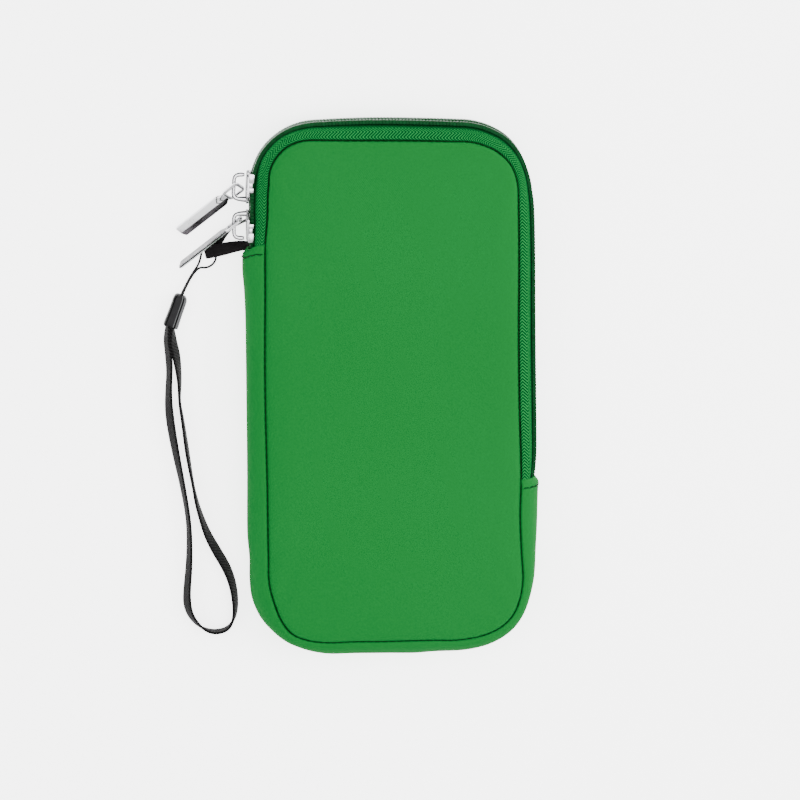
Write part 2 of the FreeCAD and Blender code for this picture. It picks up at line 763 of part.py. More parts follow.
crimp = make_crimp()
cord = make_cord()
webbing = make_webbing()
doc.recompute()

subparts = [back_panel, front_panel, back_binding, front_binding, back_thread, front_thread, gusset]
subparts += tapes + coils + [left_stitches, right_stitches] + sliders + pulls
subparts += [ribbon, crimp, cord, webbing]
for item in doc.Objects:
    if "Invalid" in item.State or "Error" in item.State:
        raise RuntimeError(f"{item.Label} failed")
for subpart in subparts:
    if subpart.Shape.isNull() or not subpart.Shape.isValid():
        raise RuntimeError(f"{subpart.Label} has no valid shape")
for name, point in (("corner centre", corner_centre), ("upper eye", upper_eye), ("lower eye", lower_eye)):
    print(name, [round(number, 3) for number in point])

os.makedirs("parts", exist_ok=True)
for subpart in subparts:
    subpart.Shape.exportStep(f"parts/{subpart.Label}.step")
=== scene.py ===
import math

import bmesh
import bpy
from mathutils import Matrix, Vector
from mathutils.kdtree import KDTree


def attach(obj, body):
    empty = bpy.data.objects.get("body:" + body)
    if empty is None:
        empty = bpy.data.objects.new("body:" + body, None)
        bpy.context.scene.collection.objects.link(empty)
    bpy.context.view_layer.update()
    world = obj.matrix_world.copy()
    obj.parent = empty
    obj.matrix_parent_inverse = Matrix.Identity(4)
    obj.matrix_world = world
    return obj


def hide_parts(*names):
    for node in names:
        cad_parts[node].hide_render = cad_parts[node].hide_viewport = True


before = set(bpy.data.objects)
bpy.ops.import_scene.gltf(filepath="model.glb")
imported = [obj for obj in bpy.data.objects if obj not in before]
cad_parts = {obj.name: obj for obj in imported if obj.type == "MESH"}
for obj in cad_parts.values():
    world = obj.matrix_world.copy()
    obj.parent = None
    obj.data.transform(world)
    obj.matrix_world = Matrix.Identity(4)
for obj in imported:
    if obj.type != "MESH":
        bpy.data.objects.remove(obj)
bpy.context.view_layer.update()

# Sizes of the pouch in millimetres, as its solids have them.
# X is to its right, Y to its top and Z out of its front. MID is half its depth.
MM = 0.001
SIDE, END, MID = 50.2, 95.1, 10.5
TOP_RADIUS, BOTTOM_RADIUS = 26.0, 32.0
SEAM_SIDE, SEAM_END = 43.5, 88.4
LEFT_ZIP_END, RIGHT_ZIP_END = 49.45, -32.4
CHAIN_SIDE = SIDE - 1.7
STRAP_ROOT = (-SIDE, LEFT_ZIP_END)
Y_AXIS, Z_AXIS = Vector((0, 1, 0)), Vector((0, 0, 1))


# Finishes

class Wire:
    """An output of a finish's node. Sums, differences and products of wires add Math nodes."""

    def __init__(self, finish, socket):
        self.finish = finish
        self.socket = socket

    def math(self, operation, *others):
        values = dict(enumerate((self, *others)))
        return self.finish.add("ShaderNodeMath", {"operation": operation}, values)

    def __add__(self, other):
        return self.math("ADD", other)

    def __sub__(self, other):
        return self.math("SUBTRACT", other)

    def __rsub__(self, other):
        return self.finish.add("ShaderNodeMath", {"operation": "SUBTRACT"}, {0: other, 1: self})

    def __mul__(self, other):
        return self.math("MULTIPLY", other)


class Finish:
    """A material, its shader's constants, and one way to add any other node."""

    def __init__(self, name, **constants):
        self.material = bpy.data.materials.new(name)
        self.material.use_nodes = True
        self.tree = self.material.node_tree
        self.shader = self.tree.nodes["Principled BSDF"]
        for socket, value in constants.items():
            self.shader.inputs[socket.replace("_", " ")].default_value = value

    def add(self, kind, settings=(), sockets=(), out=0):
        node = self.tree.nodes.new(kind)
        for key, value in dict(settings).items():
            setattr(node, key, value)
        for key, value in dict(sockets).items():
            self.feed(node.inputs[key], value)
        return Wire(self, node.outputs[out])

    def feed(self, socket, value):
        if isinstance(value, Wire):
            self.tree.links.new(value.socket, socket)
        else:
            socket.default_value = value

    def place(self):
        """The point on the piece, in metres."""
        return self.add("ShaderNodeTexCoord", out=3)

    def weave_place(self):
        """The point on the piece's own map: millimetres along it and across it."""
        return self.add("ShaderNodeUVMap", {"uv_map": "weave"})

    def apart(self, vector):
        node = self.tree.nodes.new("ShaderNodeSeparateXYZ")
        self.feed(node.inputs[0], vector)
        return [Wire(self, output) for output in node.outputs]

    def noise(self, vector, scale, detail=2.0, roughness=0.5):
        sockets = {"Vector": vector, "Scale": scale, "Detail": detail, "Roughness": roughness}
        return self.add("ShaderNodeTexNoise", {"noise_dimensions": "3D"}, sockets)

    def mix(self, share, low, high):
        return self.add("ShaderNodeMix", {"data_type": "RGBA"}, {0: share, 6: low, 7: high}, out=2)

    def stretch(self, value, low, high, to_low=0.0, to_high=1.0):
        sockets = {0: value, 1: low, 2: high, 3: to_low, 4: to_high}
        return self.add("ShaderNodeMapRange", {"interpolation_type": "SMOOTHSTEP"}, sockets)

    def bump(self, height, depth, strength=1.0):
        """Raised and sunk detail: height from 0 to 1, and what 1 stands for in metres."""
        sockets = {"Height": height, "Distance": depth, "Strength": strength}
        self.feed(self.shader.inputs["Normal"], self.add("ShaderNodeBump", (), sockets))

    def colour(self, wire):
        self.feed(self.shader.inputs["Base Color"], wire)

    def rough(self, wire):
        self.feed(self.shader.inputs["Roughness"], wire)


def tint(red, green, blue):
    """A colour as a screen shows it, 0 to 255, made linear."""
    return (*[((value / 255 + 0.055) / 1.055) ** 2.4 for value in (red, green, blue)], 1.0)


# Building

def finish_piece(name, bm, finish, stands_for, body="pouch", crisp=180, smooth=True):
    """Makes a shape a piece of the pouch: in metres, with its finish, on the body that it rides.

    Edges that turn by more than crisp degrees stay sharp.
    """
    for edge in bm.edges:
        if edge.calc_face_angle(0.0) > math.radians(crisp):
            edge.smooth = False
    bmesh.ops.scale(bm, vec=(MM, MM, MM), verts=bm.verts)
    mesh = bpy.data.meshes.new(name)
    bm.to_mesh(mesh)
    bm.free()
    mesh.materials.append(finish.material)
    mesh.polygons.foreach_set("use_smooth", [smooth] * len(mesh.polygons))
    piece = bpy.data.objects.new(name, mesh)
    bpy.context.scene.collection.objects.link(piece)
    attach(piece, body)
    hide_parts(*stands_for)
    return piece


def thicken(piece, thickness):
    """Makes cloth of a piece that is a bare sheet: gives it a thickness inwards, and rounds its faces."""
    cloth = piece.modifiers.new("cloth_thickness", "SOLIDIFY")
    cloth.thickness = thickness * MM
    cloth.offset = -1.0
    rounding = piece.modifiers.new("rounding", "SUBSURF")
    rounding.levels = rounding.render_levels = 1


def points_of(geometry):
    return [part for part in geometry if isinstance(part, bmesh.types.BMVert)]


def grow(bm, edges):
    """Extrudes a row of edges, and gives the fresh points and the fresh row."""
    grown = bmesh.ops.extrude_edge_only(bm, edges=edges)["geom"]
    verts = points_of(grown)
    fresh = set(verts)
    lines = [part for part in grown if isinstance(part, bmesh.types.BMEdge)]
    return verts, [edge for edge in lines if fresh.issuperset(edge.verts)]


def soften(bm, edges, offset, segments=2):
    """Rounds edges off."""
    bmesh.ops.bevel(bm, geom=edges, offset=offset, offset_type="OFFSET", segments=segments, profile=0.5,
                    affect="EDGES", material=-1)


def sweep(section, stations, closed=True, lap=0.0):
    """Carries a section of (out, up) points through stations of (run, placement).

    Each point keeps its place along and across. A sweep with a lap comes back to its start after that run.
    """
    bm = bmesh.new()
    along = bm.verts.layers.float.new("along")
    across = bm.verts.layers.float.new("across")
    run, placement = stations[0]
    row, walked = [], 0.0
    for i, (out, up) in enumerate(section):
        if i:
            walked += math.dist(section[i - 1], (out, up))
        vert = bm.verts.new(placement @ Vector((out, up, 0)))
        vert[along], vert[across] = run, walked
        row.append(vert)
    pairs = list(zip(row, row[1:])) + ([(row[-1], row[0])] if closed else [])
    edges = [bm.edges.new(pair) for pair in pairs]
    first = edges
    for run, following in stations[1:]:
        verts, edges = grow(bm, edges)
        bmesh.ops.transform(bm, matrix=following @ placement.inverted(), verts=verts)
        for vert in verts:
            vert[along] = run
        placement = following
    if lap:
        bmesh.ops.bridge_loops(bm, edges=edges + first)
    elif closed:
        bmesh.ops.edgeloop_fill(bm, edges=first)
        bmesh.ops.edgeloop_fill(bm, edges=edges)
    bmesh.ops.recalc_face_normals(bm, faces=bm.faces)
    lay_weave(bm, walked + (math.dist(section[-1], section[0]) if closed else 0), lap)
    return bm


def lay_weave(bm, girth, lap):
    """Writes each point's place along and across its piece to the piece's map, in millimetres."""
    along = bm.verts.layers.float["along"]
    across = bm.verts.layers.float["across"]
    weave = bm.loops.layers.uv.new("weave")
    for face in bm.faces:
        widest = max(vert[across] for vert in face.verts)
        furthest = max(vert[along] for vert in face.verts)
        for loop in face.loops:
            round_it = girth if widest - loop.vert[across] > girth / 2 else 0.0
            round_run = lap if lap and furthest - loop.vert[along] > lap / 2 else 0.0
            loop[weave].uv = (loop.vert[along] + round_run, loop.vert[across] + round_it)


def turned(place, out, up):
    """A placement with its first axis out and its second axis up."""
    matrix = Matrix((out, up, out.cross(up))).transposed().to_4x4()
    matrix.translation = place
    return matrix


# The pouch's outline, clockwise from the zip's left end: lengths and radii of its stretches.
QUARTER = math.pi / 2
OUTLINE = (
    (END - TOP_RADIUS - LEFT_ZIP_END, 0),
    (TOP_RADIUS * QUARTER, TOP_RADIUS),
    (2 * (SIDE - TOP_RADIUS), 0),
    (TOP_RADIUS * QUARTER, TOP_RADIUS),
    (2 * END - TOP_RADIUS - BOTTOM_RADIUS, 0),
    (BOTTOM_RADIUS * QUARTER, BOTTOM_RADIUS),
    (2 * (SIDE - BOTTOM_RADIUS), 0),
    (BOTTOM_RADIUS * QUARTER, BOTTOM_RADIUS),
    (LEFT_ZIP_END + END - BOTTOM_RADIUS, 0),
)
ROUND_TRIP = sum(length for length, _ in OUTLINE)
ZIP_RUN = sum(length for length, _ in OUTLINE[:4]) + END - TOP_RADIUS - RIGHT_ZIP_END


def wall_at(run):
    """The place on the outline at this run, and the way out of the pouch there."""
    run %= ROUND_TRIP
    heading, spot = QUARTER, Vector((-SIDE, LEFT_ZIP_END, 0))
    for length, radius in OUTLINE:
        part = min(run, length)
        out = Vector((-math.sin(heading), math.cos(heading), 0))
        if radius:
            heading -= part / radius
            ahead = Vector((-math.sin(heading), math.cos(heading), 0))
            spot = spot + (ahead - out) * radius
            out = ahead
        else:
            spot = spot + Vector((math.cos(heading), math.sin(heading), 0)) * part
        run -= part
        if run <= 0:
            break
    return spot, out


def eased(table, run):
    """A smooth value through a table's given (run, value) pairs."""
    run = max(table[0][0], min(table[-1][0], run))
    i = max(1, next(i for i, (stop, _) in enumerate(table) if run <= stop))
    low, high = table[i - 1], table[i]
    before, after = table[max(0, i - 2)], table[min(len(table) - 1, i + 1)]
    span = high[0] - low[0]
    rise = (high[1] - before[1]) / (high[0] - before[0]) * span
    fall = (after[1] - low[1]) / (after[0] - low[0]) * span
    t = (run - low[0]) / span
    return (low[1] * (1 + 2 * t) * (1 - t) ** 2 + rise * t * (1 - t) ** 2
            + high[1] * t * t * (3 - 2 * t) + fall * t * t * (t - 1))


# How the soft pouch lies: how far its wall stands out beyond the plain outline, along its run.
ZIP_EASE = (
    (0, 0.0), (10.5, 0.0), (14.4, 0.1), (18.5, 0.0), (22, 0.0), (30, 0.1), (36, 0.25), (46, 0.1),
    (54, -0.1), (60, -0.2), (66, 0.1), (78, 0.35), (90, 0.1), (102, -0.4), (111, -0.85), (120, -0.85),
    (128, -0.55), (135, -0.6), (142, -0.6), (149, 0.0), (155, 0.9), (165, 1.35), (200, 1.85), (240, 2.4),
    (247, 2.1), (254, 1.2),
)
GUSSET_EASE = (
    (251, 1.7), (257, 1.5), (270, 1.2), (282, 0.3), (290, 0.0), (296, 0.2), (306, 1.4), (314, 1.7),
    (322, 0.9), (330, 0.0), (336, 0.2), (342, 0.8), (352, 0.45), (362, 0.3), (374, 0.3), (385, 0.0),
    (392, 0.6), (399, 1.4), (407, 0.8), (413, -0.25), (420, -0.9), (430, -0.05), (450, -0.15),
    (480, -0.1), (500, 0.0), (508, 0.1), (517, 0.5), (524, 1.1), (532, 0.8),
)

# How far the front panel's seam lies out of its plain outline.
FRONT_EASE = (
    (0, 0.0), (2, 0.0), (12, -0.9), (19.6, -1.1), (24, -1.15), (28, -0.6), (32, 0.15), (36, 0.55),
    (44, 0.9), (51, 0.3), (58, -0.6), (66, -0.9), (74, -1.05), (90, -1.3), (107, -1.85), (119, -1.85),
    (130, -1.15), (137, -0.7), (146, -0.6), (154, -0.45), (174, -0.15), (198, -0.15), (223, 0.25),
    (251, 1.1), (265, 0.9), (280, 1.65), (287, 2.4), (294.4, 3.5), (300.5, 4.5), (306.8, 4.7),
    (314.4, 3.6), (322.6, 2.1), (331, 1.3), (340, 1.1), (354, 1.15), (366, 1.0), (375, 1.6), (383, 2.7),
    (389, 3.2), (396, 2.0), (403, 0.5), (411, -0.2), (421, -0.5), (429, -0.4), (451, -0.2), (479, 0.3),
    (500, 0.3), (514, 0.1), (532, 0.0),
)
# How far from mid depth the front's lie is all there, and the bow of the wall and of its hem is all gone.
FRONT_DEPTH, BOW_DEPTH, HEM_DEPTH = 8.3, 8.0, 8.4


def front_lie(run, height):
    """How far the front's lie carries a place on the wall, all of it at the seam and none at mid depth."""
    share = min(1.0, max(0.0, (height - MID) / FRONT_DEPTH))
    return wall_at(run)[1] * (eased(FRONT_EASE, run % ROUND_TRIP) * share)


def lie(place, run, table):
    """Where a place on the wall comes to lie: bowed out at mid depth, and drawn along by the front."""
    share = max(0.0, 1 - abs(place.z - MID) / BOW_DEPTH)
    return place + front_lie(run, place.z) + wall_at(run)[1] * eased(table, run) * share ** 0.6


def relax(bm, table):
    """Gives a swept wall the lie of soft cloth."""
    along = bm.verts.layers.float["along"]
    for vert in bm.verts:
        vert.co = lie(vert.co, vert[along], table)


def wall_stations(start, stop, step):
    """Stations along the wall, about a step apart."""
    count = max(2, round((stop - start) / step))
    runs = [start + (stop - start) * i / count for i in range(count + 1)]
    return [(run, turned(*wall_at(run), Z_AXIS)) for run in runs]


def smooth_line(name, points, steps=10):
    """Places along the smooth line that a route's given points steer, in metres."""
    curve = bpy.data.curves.new(name, "CURVE")
    curve.dimensions = "3D"
    spline = curve.splines.new("NURBS")
    spline.points.add(len(points) - 1)
    for point, place in zip(spline.points, points):
        point.co = (*(value * MM for value in place), 1)
    spline.order_u = 3
    spline.use_endpoint_u = True
    spline.resolution_u = steps
    holder = bpy.data.objects.new(name, curve)
    mesh = bpy.data.meshes.new_from_object(holder)
    places = [vert.co.copy() for vert in mesh.vertices]
    bpy.data.objects.remove(holder)
    bpy.data.curves.remove(curve)
    bpy.data.meshes.remove(mesh)
    return places


# Finishes of the pouch's own materials

def panel_fabric():
    """Foam-backed stretch knit: fine ribs of stitches, a little fuzz, and a slow drift of shade."""
    finish = Finish("green_stretch_knit", Roughness=0.78, Specular_IOR_Level=0.02)
    place = finish.place()
    drift = finish.noise(place, 16.0, 2.0)
    grain = finish.noise(place, 1500.0, 2.0)
    across, up, _ = finish.apart(place)
    ribs = (across * 9000.0).math("SINE") * (up * 6400.0 + (across * 4500.0).math("SINE")).math("SINE")
    shade = drift * 0.35 + grain * 0.65
    finish.colour(finish.mix(shade, (0.0035, 0.098, 0.014, 1), (0.0065, 0.125, 0.024, 1)))
    finish.rough(finish.stretch(grain, 0.2, 0.8, 0.66, 0.84))
    finish.bump(ribs * 0.3 + grain, 0.00009, 0.55)
    return finish


def zip_tape():
    """Herringbone tape: slanting ribs that change hands every two millimetres across."""
    finish = Finish("green_herringbone_tape", Roughness=0.8, Specular_IOR_Level=0.0)
    along, across, _ = finish.apart(finish.weave_place())
    hand = (across * 0.5).math("PINGPONG", 1.0)
    ribs = ((along + hand * 2.0) * 5.6).math("SINE") * 0.5 + 0.5
    yarn = (across * 17.0 + (along * 5.6).math("SINE")).math("SINE") * 0.5 + 0.5
    fuzz = finish.noise(finish.place(), 900.0, 3.0)
    height = ribs * 0.7 + yarn * 0.2 + fuzz * 0.25
    shade = finish.stretch(height, 0.3, 0.85)
    woven = finish.mix(shade, (0.0008, 0.026, 0.005, 1), (0.011, 0.15, 0.034, 1))
    # Painted shade: from across 5.2 to 8.4 the tape darkens towards the chain, for the gap beside it.
    finish.colour(finish.mix(finish.stretch(across, 5.2, 8.4, 0.0, 0.9), woven, (0.0006, 0.018, 0.004, 1)))
    finish.bump(height, 0.0002, 0.7)
    return finish


def coil_plastic():
    """Dyed nylon of the zip's coil: a soft gloss, and a cloud of darker and lighter tone."""
    finish = Finish("green_coil_nylon", Roughness=0.55, Specular_IOR_Level=0.03)
    cloud = finish.noise(finish.place(), 700.0, 2.0)
    finish.colour(finish.mix(cloud, (0.0008, 0.017, 0.004, 1), (0.005, 0.06, 0.016, 1)))
    finish.rough(finish.stretch(cloud, 0.25, 0.75, 0.32, 0.5))
    return finish


def sewing_thread():
    """Two-ply thread: slanting plies along each stitch."""
    finish = Finish("green_sewing_thread", Roughness=0.65, Specular_IOR_Level=0.05)
    fuzz = finish.noise(finish.place(), 2600.0, 2.0)
    along, across, _ = finish.apart(finish.weave_place())
    plies = (along * 9.0 + across * 6.0).math("SINE") * 0.5 + 0.5
    finish.colour(finish.mix(plies * 0.7 + fuzz * 0.3, (0.0002, 0.01, 0.001, 1), (0.0006, 0.03, 0.003, 1)))
    finish.bump(plies, 0.00006, 0.8)
    return finish


# The middle of the bridge's outer face, round its section.
BRIDGE_CREST = 1.924


def bright_metal():
    """Nickel-plated casting: clouded gloss, fine rubbing marks, and painted dark reflection on the bridge's
    flanks.
    """
    finish = Finish("nickel_plate", Metallic=1.0, Roughness=0.2, Specular_Tint=(0.15, 0.15, 0.15, 1))
    place = finish.place()
    _, across, _ = finish.apart(finish.weave_place())
    crest = (across - BRIDGE_CREST).math("ABSOLUTE")
    # Painted dark reflection: away from the crest, the bridge's flanks are coloured dark, tint 42, as dark
    # outlines.
    painted_flank = 1.0 - finish.stretch(crest, 0.72, 0.82) * finish.stretch(crest, 1.36, 1.46, 1.0, 0.0)
    cloud = finish.noise(place, 350.0, 3.0)
    rubbed = finish.noise(place, 2400.0, 2.0, 0.6)
    plated = finish.mix(cloud, tint(176, 176, 178), tint(208, 208, 210))
    finish.colour(finish.mix(painted_flank, plated, tint(42, 42, 44)))
    finish.rough(finish.stretch(cloud * 0.6 + rubbed * 0.4, 0.3, 0.7, 0.14, 0.3))
    finish.bump(rubbed, 0.00003, 0.3)
    return finish


def pull_metal(name, edge):
    """The pulls' plate: a brushed lower facet painted dark as a dark reflection, two grooves with painted
    shade and, with edge 1, a dark lower line, also a painted dark reflection.
    """
    finish = Finish(name, Metallic=1.0, Roughness=0.22, Specular_Tint=(0.15, 0.15, 0.15, 1))
    place = finish.place()
    along, across, _ = finish.apart(finish.weave_place())
    cloud = finish.noise(place, 350.0, 3.0)
    strokes = finish.add("ShaderNodeCombineXYZ", (), {0: along * 0.25, 1: across * 9.0})
    brushed = finish.noise(strokes, 3.0, 2.0)
    # Painted dark reflection: the lower facet, across 6.3 to 10.95, takes a dark brushed colour.
    painted_flank = finish.stretch(across, 6.3, 6.7) * finish.stretch(across, 10.7, 10.95, 1.0, 0.0)
    # With edge 1, a thin dark line along the lower edge, also a painted dark reflection.
    line = finish.stretch(across, 13.35, 13.55) * finish.stretch(across, 13.9, 14.1, 1.0, 0.0) * edge
    # The two grooves at the shoulder are sunk in the bump and darkened with painted shade.
    bend = (across - 11.6).math("ABSOLUTE") * 0.8
    groove = 0.0
    for stop in (5.4, 7.0):
        middle = (along + bend - stop).math("ABSOLUTE")
        groove = finish.stretch(middle, 0.14, 0.38, 1.0, 0.0) + groove
    groove = groove * finish.stretch(across, 10.7, 10.9)
    bright = finish.mix(cloud, tint(205, 205, 207), tint(240, 240, 242))
    brushed_painted_dark = finish.mix(finish.stretch(brushed, 0.3, 0.7), tint(62, 60, 62), tint(112, 110, 112))
    finish.colour(finish.mix(groove * 0.85 + line, finish.mix(painted_flank, bright, brushed_painted_dark), tint(44, 44, 46)))
    finish.rough(finish.stretch(cloud * 0.5 + brushed * 0.5, 0.3, 0.7, 0.16, 0.34))
    finish.bump(1.0 - groove + brushed * 0.06, 0.0002, 0.6)
    return finish


def woven_band(name, ribs_per_mm, cross_per_mm, low, high, rib_share=0.5, slant=0.0, roughness=0.75):
    """A woven band: ribs across it, with the warp's yarns showing along it."""
    finish = Finish(name, Roughness=roughness, Specular_IOR_Level=0.05)
    along, across, _ = finish.apart(finish.weave_place())
    ribs = ((along + across * slant) * (ribs_per_mm * 2 * math.pi)).math("SINE") * 0.5 + 0.5
    warp = (across * (cross_per_mm * 2 * math.pi)).math("SINE") * 0.5 + 0.5
    over = (along * (ribs_per_mm * math.pi)).math("SINE") * (across * (cross_per_mm * math.pi)).math("SINE")
    fuzz = finish.noise(finish.place(), 1800.0, 2.0)
    height = ribs * rib_share + warp * 0.2 + over * 0.2 + fuzz * 0.3
    finish.colour(finish.mix(finish.stretch(height, 0.2, 0.5 + rib_share), low, high))
    finish.rough(finish.stretch(fuzz, 0.2, 0.8, roughness - 0.1, roughness + 0.1))
    finish.bump(height, 0.00016, 0.8)
    return finish


def braided_cord():
    """Fine braid: strands that cross both ways round the cord."""
    finish = Finish("black_cord_braid", Roughness=0.6, Specular_IOR_Level=0.1)
    along, across, _ = finish.apart(finish.weave_place())
    one = ((along + across) * 8.0).math("SINE")
    other = ((along - across) * 8.0).math("SINE")
    height = one * other * 0.5 + 0.5
    finish.colour(finish.mix(height, (0.0006, 0.0006, 0.0006, 1), (0.005, 0.005, 0.005, 1)))
    finish.bump(height, 0.00008, 0.8)
    return finish


def bead_plastic():
    """Moulded black plastic with a fine spark-eroded grain, a paler side strip and top edge that are painted
    highlights, and painted shade in its groove and down one side.
    """
    finish = Finish("black_bead_plastic", Roughness=0.42, Specular_IOR_Level=0.03)
    place = finish.place()
    grain = finish.noise(place, 2600.0, 2.0)
    cloud = finish.noise(place, 260.0, 2.0)
    _, across, _ = finish.apart(finish.weave_place())
    # Painted highlights: the side strip and the top edge, which face the light, are made paler.
    painted_flank = finish.stretch(across, 7.4, 7.7) * finish.stretch(across, 9.0, 9.15, 1.0, 0.0)
    edge = finish.stretch(across, 10.25, 10.4) * finish.stretch(across, 10.65, 10.8, 1.0, 0.0)
    # Painted shade: the groove between face and side, and the section from across 12.75 on, go near black.
    groove = finish.stretch(across, 9.1, 9.25) * finish.stretch(across, 10.1, 10.25, 1.0, 0.0)
    face = finish.mix(cloud, (0.0105, 0.0102, 0.0108, 1), (0.02, 0.0195, 0.0205, 1))
    face_with_painted_highlights = finish.mix(painted_flank + edge, face, (0.085, 0.085, 0.088, 1))
    shade = groove + finish.stretch(across, 12.75, 13.1)
    finish.colour(finish.mix(shade, face_with_painted_highlights, (0.0008, 0.0008, 0.0008, 1)))
    finish.rough(finish.stretch(grain, 0.3, 0.7, 0.34, 0.52))
    finish.bump(grain, 0.00004, 0.5)
    return finish


PANEL_FABRIC = panel_fabric()
ZIP_TAPE = zip_tape()
COIL = coil_plastic()
THREAD = sewing_thread()
METAL = bright_metal()
UPPER_PULL_METAL = pull_metal("nickel_plate_upper_pull", 0.0)
LOWER_PULL_METAL = pull_metal("nickel_plate_lower_pull", 1.0)
WEBBING = woven_band("black_webbing_weave", 0.85, 1.6, (0.0004, 0.0004, 0.0004, 1),
                     (0.0105, 0.0098, 0.0105, 1), rib_share=0.9, slant=0.6)
RIBBON = woven_band("black_ribbon_weave", 3.0, 3.0, (0.0015, 0.0014, 0.0015, 1),
                    (0.011, 0.0095, 0.0105, 1), roughness=0.65)
BINDING = woven_band("green_seam_binding", 2.0, 2.0, (0.001, 0.03, 0.005, 1), (0.003, 0.06, 0.01, 1))
BRAID = braided_cord()
BEAD = bead_plastic()


# Floor, light and camera, in metres

FLOOR_HALF, FLOOR_GAP = 3.0, 0.0002
# The picture's width, and how much of the pouch one of its pixels shows, in millimetres.
PICTURE_PIXELS, PIXEL_MM = 800, 0.346
VIEW_SHIFT = (9.5 / PICTURE_PIXELS, -14.5 / PICTURE_PIXELS)
VIEW_DISTANCE, LEAN_TOP, LEAN_LEFT = 1.6, math.radians(13), math.radians(4.7)


def lay_floor():
    """A pale floor that glows, so that it stays white round the pouch."""
    finish = Finish("pale_floor", Roughness=0.9, Specular_IOR_Level=0.0, Emission_Color=(1, 1, 1, 1),
                    Emission_Strength=3.2)
    cloud = finish.noise(finish.place(), 3.0, 2.0)
    finish.colour(finish.mix(cloud, (0.93, 0.93, 0.93, 1.0), (0.96, 0.96, 0.96, 1.0)))
    bm = bmesh.new()
    bmesh.ops.create_grid(bm, x_segments=4, y_segments=4, size=FLOOR_HALF)
    bmesh.ops.translate(bm, vec=(0, 0, -FLOOR_GAP), verts=bm.verts)
    mesh = bpy.data.meshes.new("floor")
    bm.to_mesh(mesh)
    bm.free()
    mesh.materials.append(finish.material)
    floor = bpy.data.objects.new("floor", mesh)
    bpy.context.scene.collection.objects.link(floor)


def hang_light(name, place, size, power):
    """A round lamp that points at the pouch."""
    lamp = bpy.data.lights.new(name, "AREA")
    lamp.shape = "DISK"
    lamp.size = size
    lamp.energy = power
    holder = bpy.data.objects.new(name, lamp)
    holder.location = place
    holder.rotation_mode = "QUATERNION"
    holder.rotation_quaternion = (-Vector(place)).to_track_quat("-Z", "Y")
    bpy.context.scene.collection.objects.link(holder)


def set_camera():
    """Looks down on the pouch, a little from its top and its left, as the picture does."""
    side, up = -math.sin(LEAN_LEFT), math.sin(LEAN_TOP)
    back = Vector((side, up, math.sqrt(1 - side * side - up * up)))
    right = Y_AXIS.cross(back).normalized()
    camera = bpy.data.cameras.new("camera")
    camera.sensor_width = 36.0
    view_width = PICTURE_PIXELS * PIXEL_MM * MM
    camera.lens = camera.sensor_width * VIEW_DISTANCE / view_width
    camera.shift_x, camera.shift_y = VIEW_SHIFT
    camera.clip_end = 20.0
    holder = bpy.data.objects.new("camera", camera)
    stand = Matrix((right, back.cross(right), back)).transposed().to_4x4()
    stand.translation = Vector((0, 0, MID * MM)) + back * VIEW_DISTANCE
    holder.matrix_world = stand
    bpy.context.scene.collection.objects.link(holder)
    bpy.context.scene.camera = holder


def hang_sky(tree):
    """A white tent: bright overhead and dim towards the horizon."""
    way = tree.nodes.new("ShaderNodeTexCoord")
    parts = tree.nodes.new("ShaderNodeSeparateXYZ")
    height = tree.nodes.new("ShaderNodeMapRange")
    for socket, value in zip(height.inputs[1:5], (0.25, 0.8, 0.05, 1.5)):
        socket.default_value = value
    tree.links.new(way.outputs["Generated"], parts.inputs[0])
    tree.links.new(parts.outputs["Z"], height.inputs[0])
    tree.links.new(height.outputs[0], tree.nodes["Background"].inputs["Strength"])
    tree.nodes["Background"].inputs["Color"].default_value = (1.0, 1.0, 1.0, 1.0)


world = bpy.data.worlds.new("studio")
world.use_nodes = True
bpy.context.scene.world = world
hang_sky(world.node_tree)
lay_floor()
hang_light("overhead", (0.1, 0.35, 1.5), 1.4, 26)
hang_light("right_fill", (0.55, 0.05, 0.5), 0.4, 5)
hang_light("left_fill", (-0.55, -0.1, 0.5), 0.4, 2.5)
hang_light("low_strip", (0.21, -1.03, 0.42), 0.5, 1.5)
set_camera()


# Wrist strap

def strap_places(route, rise=None):
    """A route's points in the pouch's frame: they count from its left side and the zip's left end."""
    return [(STRAP_ROOT[0] + p[0], STRAP_ROOT[1] + p[1], rise if rise is not None else p[2]) for p in route]


CORD_ROUTE = (
    (-21.6, -18.8, 2.6), (-19.55, -14.3, 2.15), (-17.45, -10.8, 1.6), (-15.2, -8.5, 1.0),
    (-12.9, -8.8, 1.0), (-10.8, -7.9, 1.1), (-9.3, -5.8, 1.2), (-9.7, -3.9, 1.3), (-11.0, -1.6, 1.35),
    (-12.8, -1.3, 1.3), (-14.3, -2.7, 1.1), (-14.7, -5.4, 0.95), (-15.6, -7.9, 0.9),
    (-17.55, -10.6, 1.0), (-19.8, -14.3, 1.5), (-21.9, -18.7, 1.95),
)
WEBBING_ROUTE = (
    (-26.15, -28.35), (-26.9, -33.1), (-26.3, -37.7), (-25.8, -43.7), (-26.4, -54.2), (-25.9, -62.4),
    (-24.0, -74.1), (-21.7, -85.8), (-19.8, -97.6), (-19.5, -106.5), (-19.8, -115.4), (-20.7, -124.2),
    (-20.5, -129.9), (-18.6, -134.2), (-15.1, -137.7), (-10.7, -139.1), (-5.9, -137.7), (-3.8, -133.2),
    (-3.7, -127.1), (-4.7, -121.0), (-6.7, -115.4), (-10.2, -109.3), (-13.2, -103.6), (-15.3, -97.6),
    (-17.0, -91.7), (-18.1, -85.8), (-20.0, -74.2), (-21.5, -62.4), (-22.6, -55.7), (-22.4, -49.6),
    (-22.8, -44.0), (-23.6, -38.6), (-24.7, -34.0), (-24.73, -28.9),
)
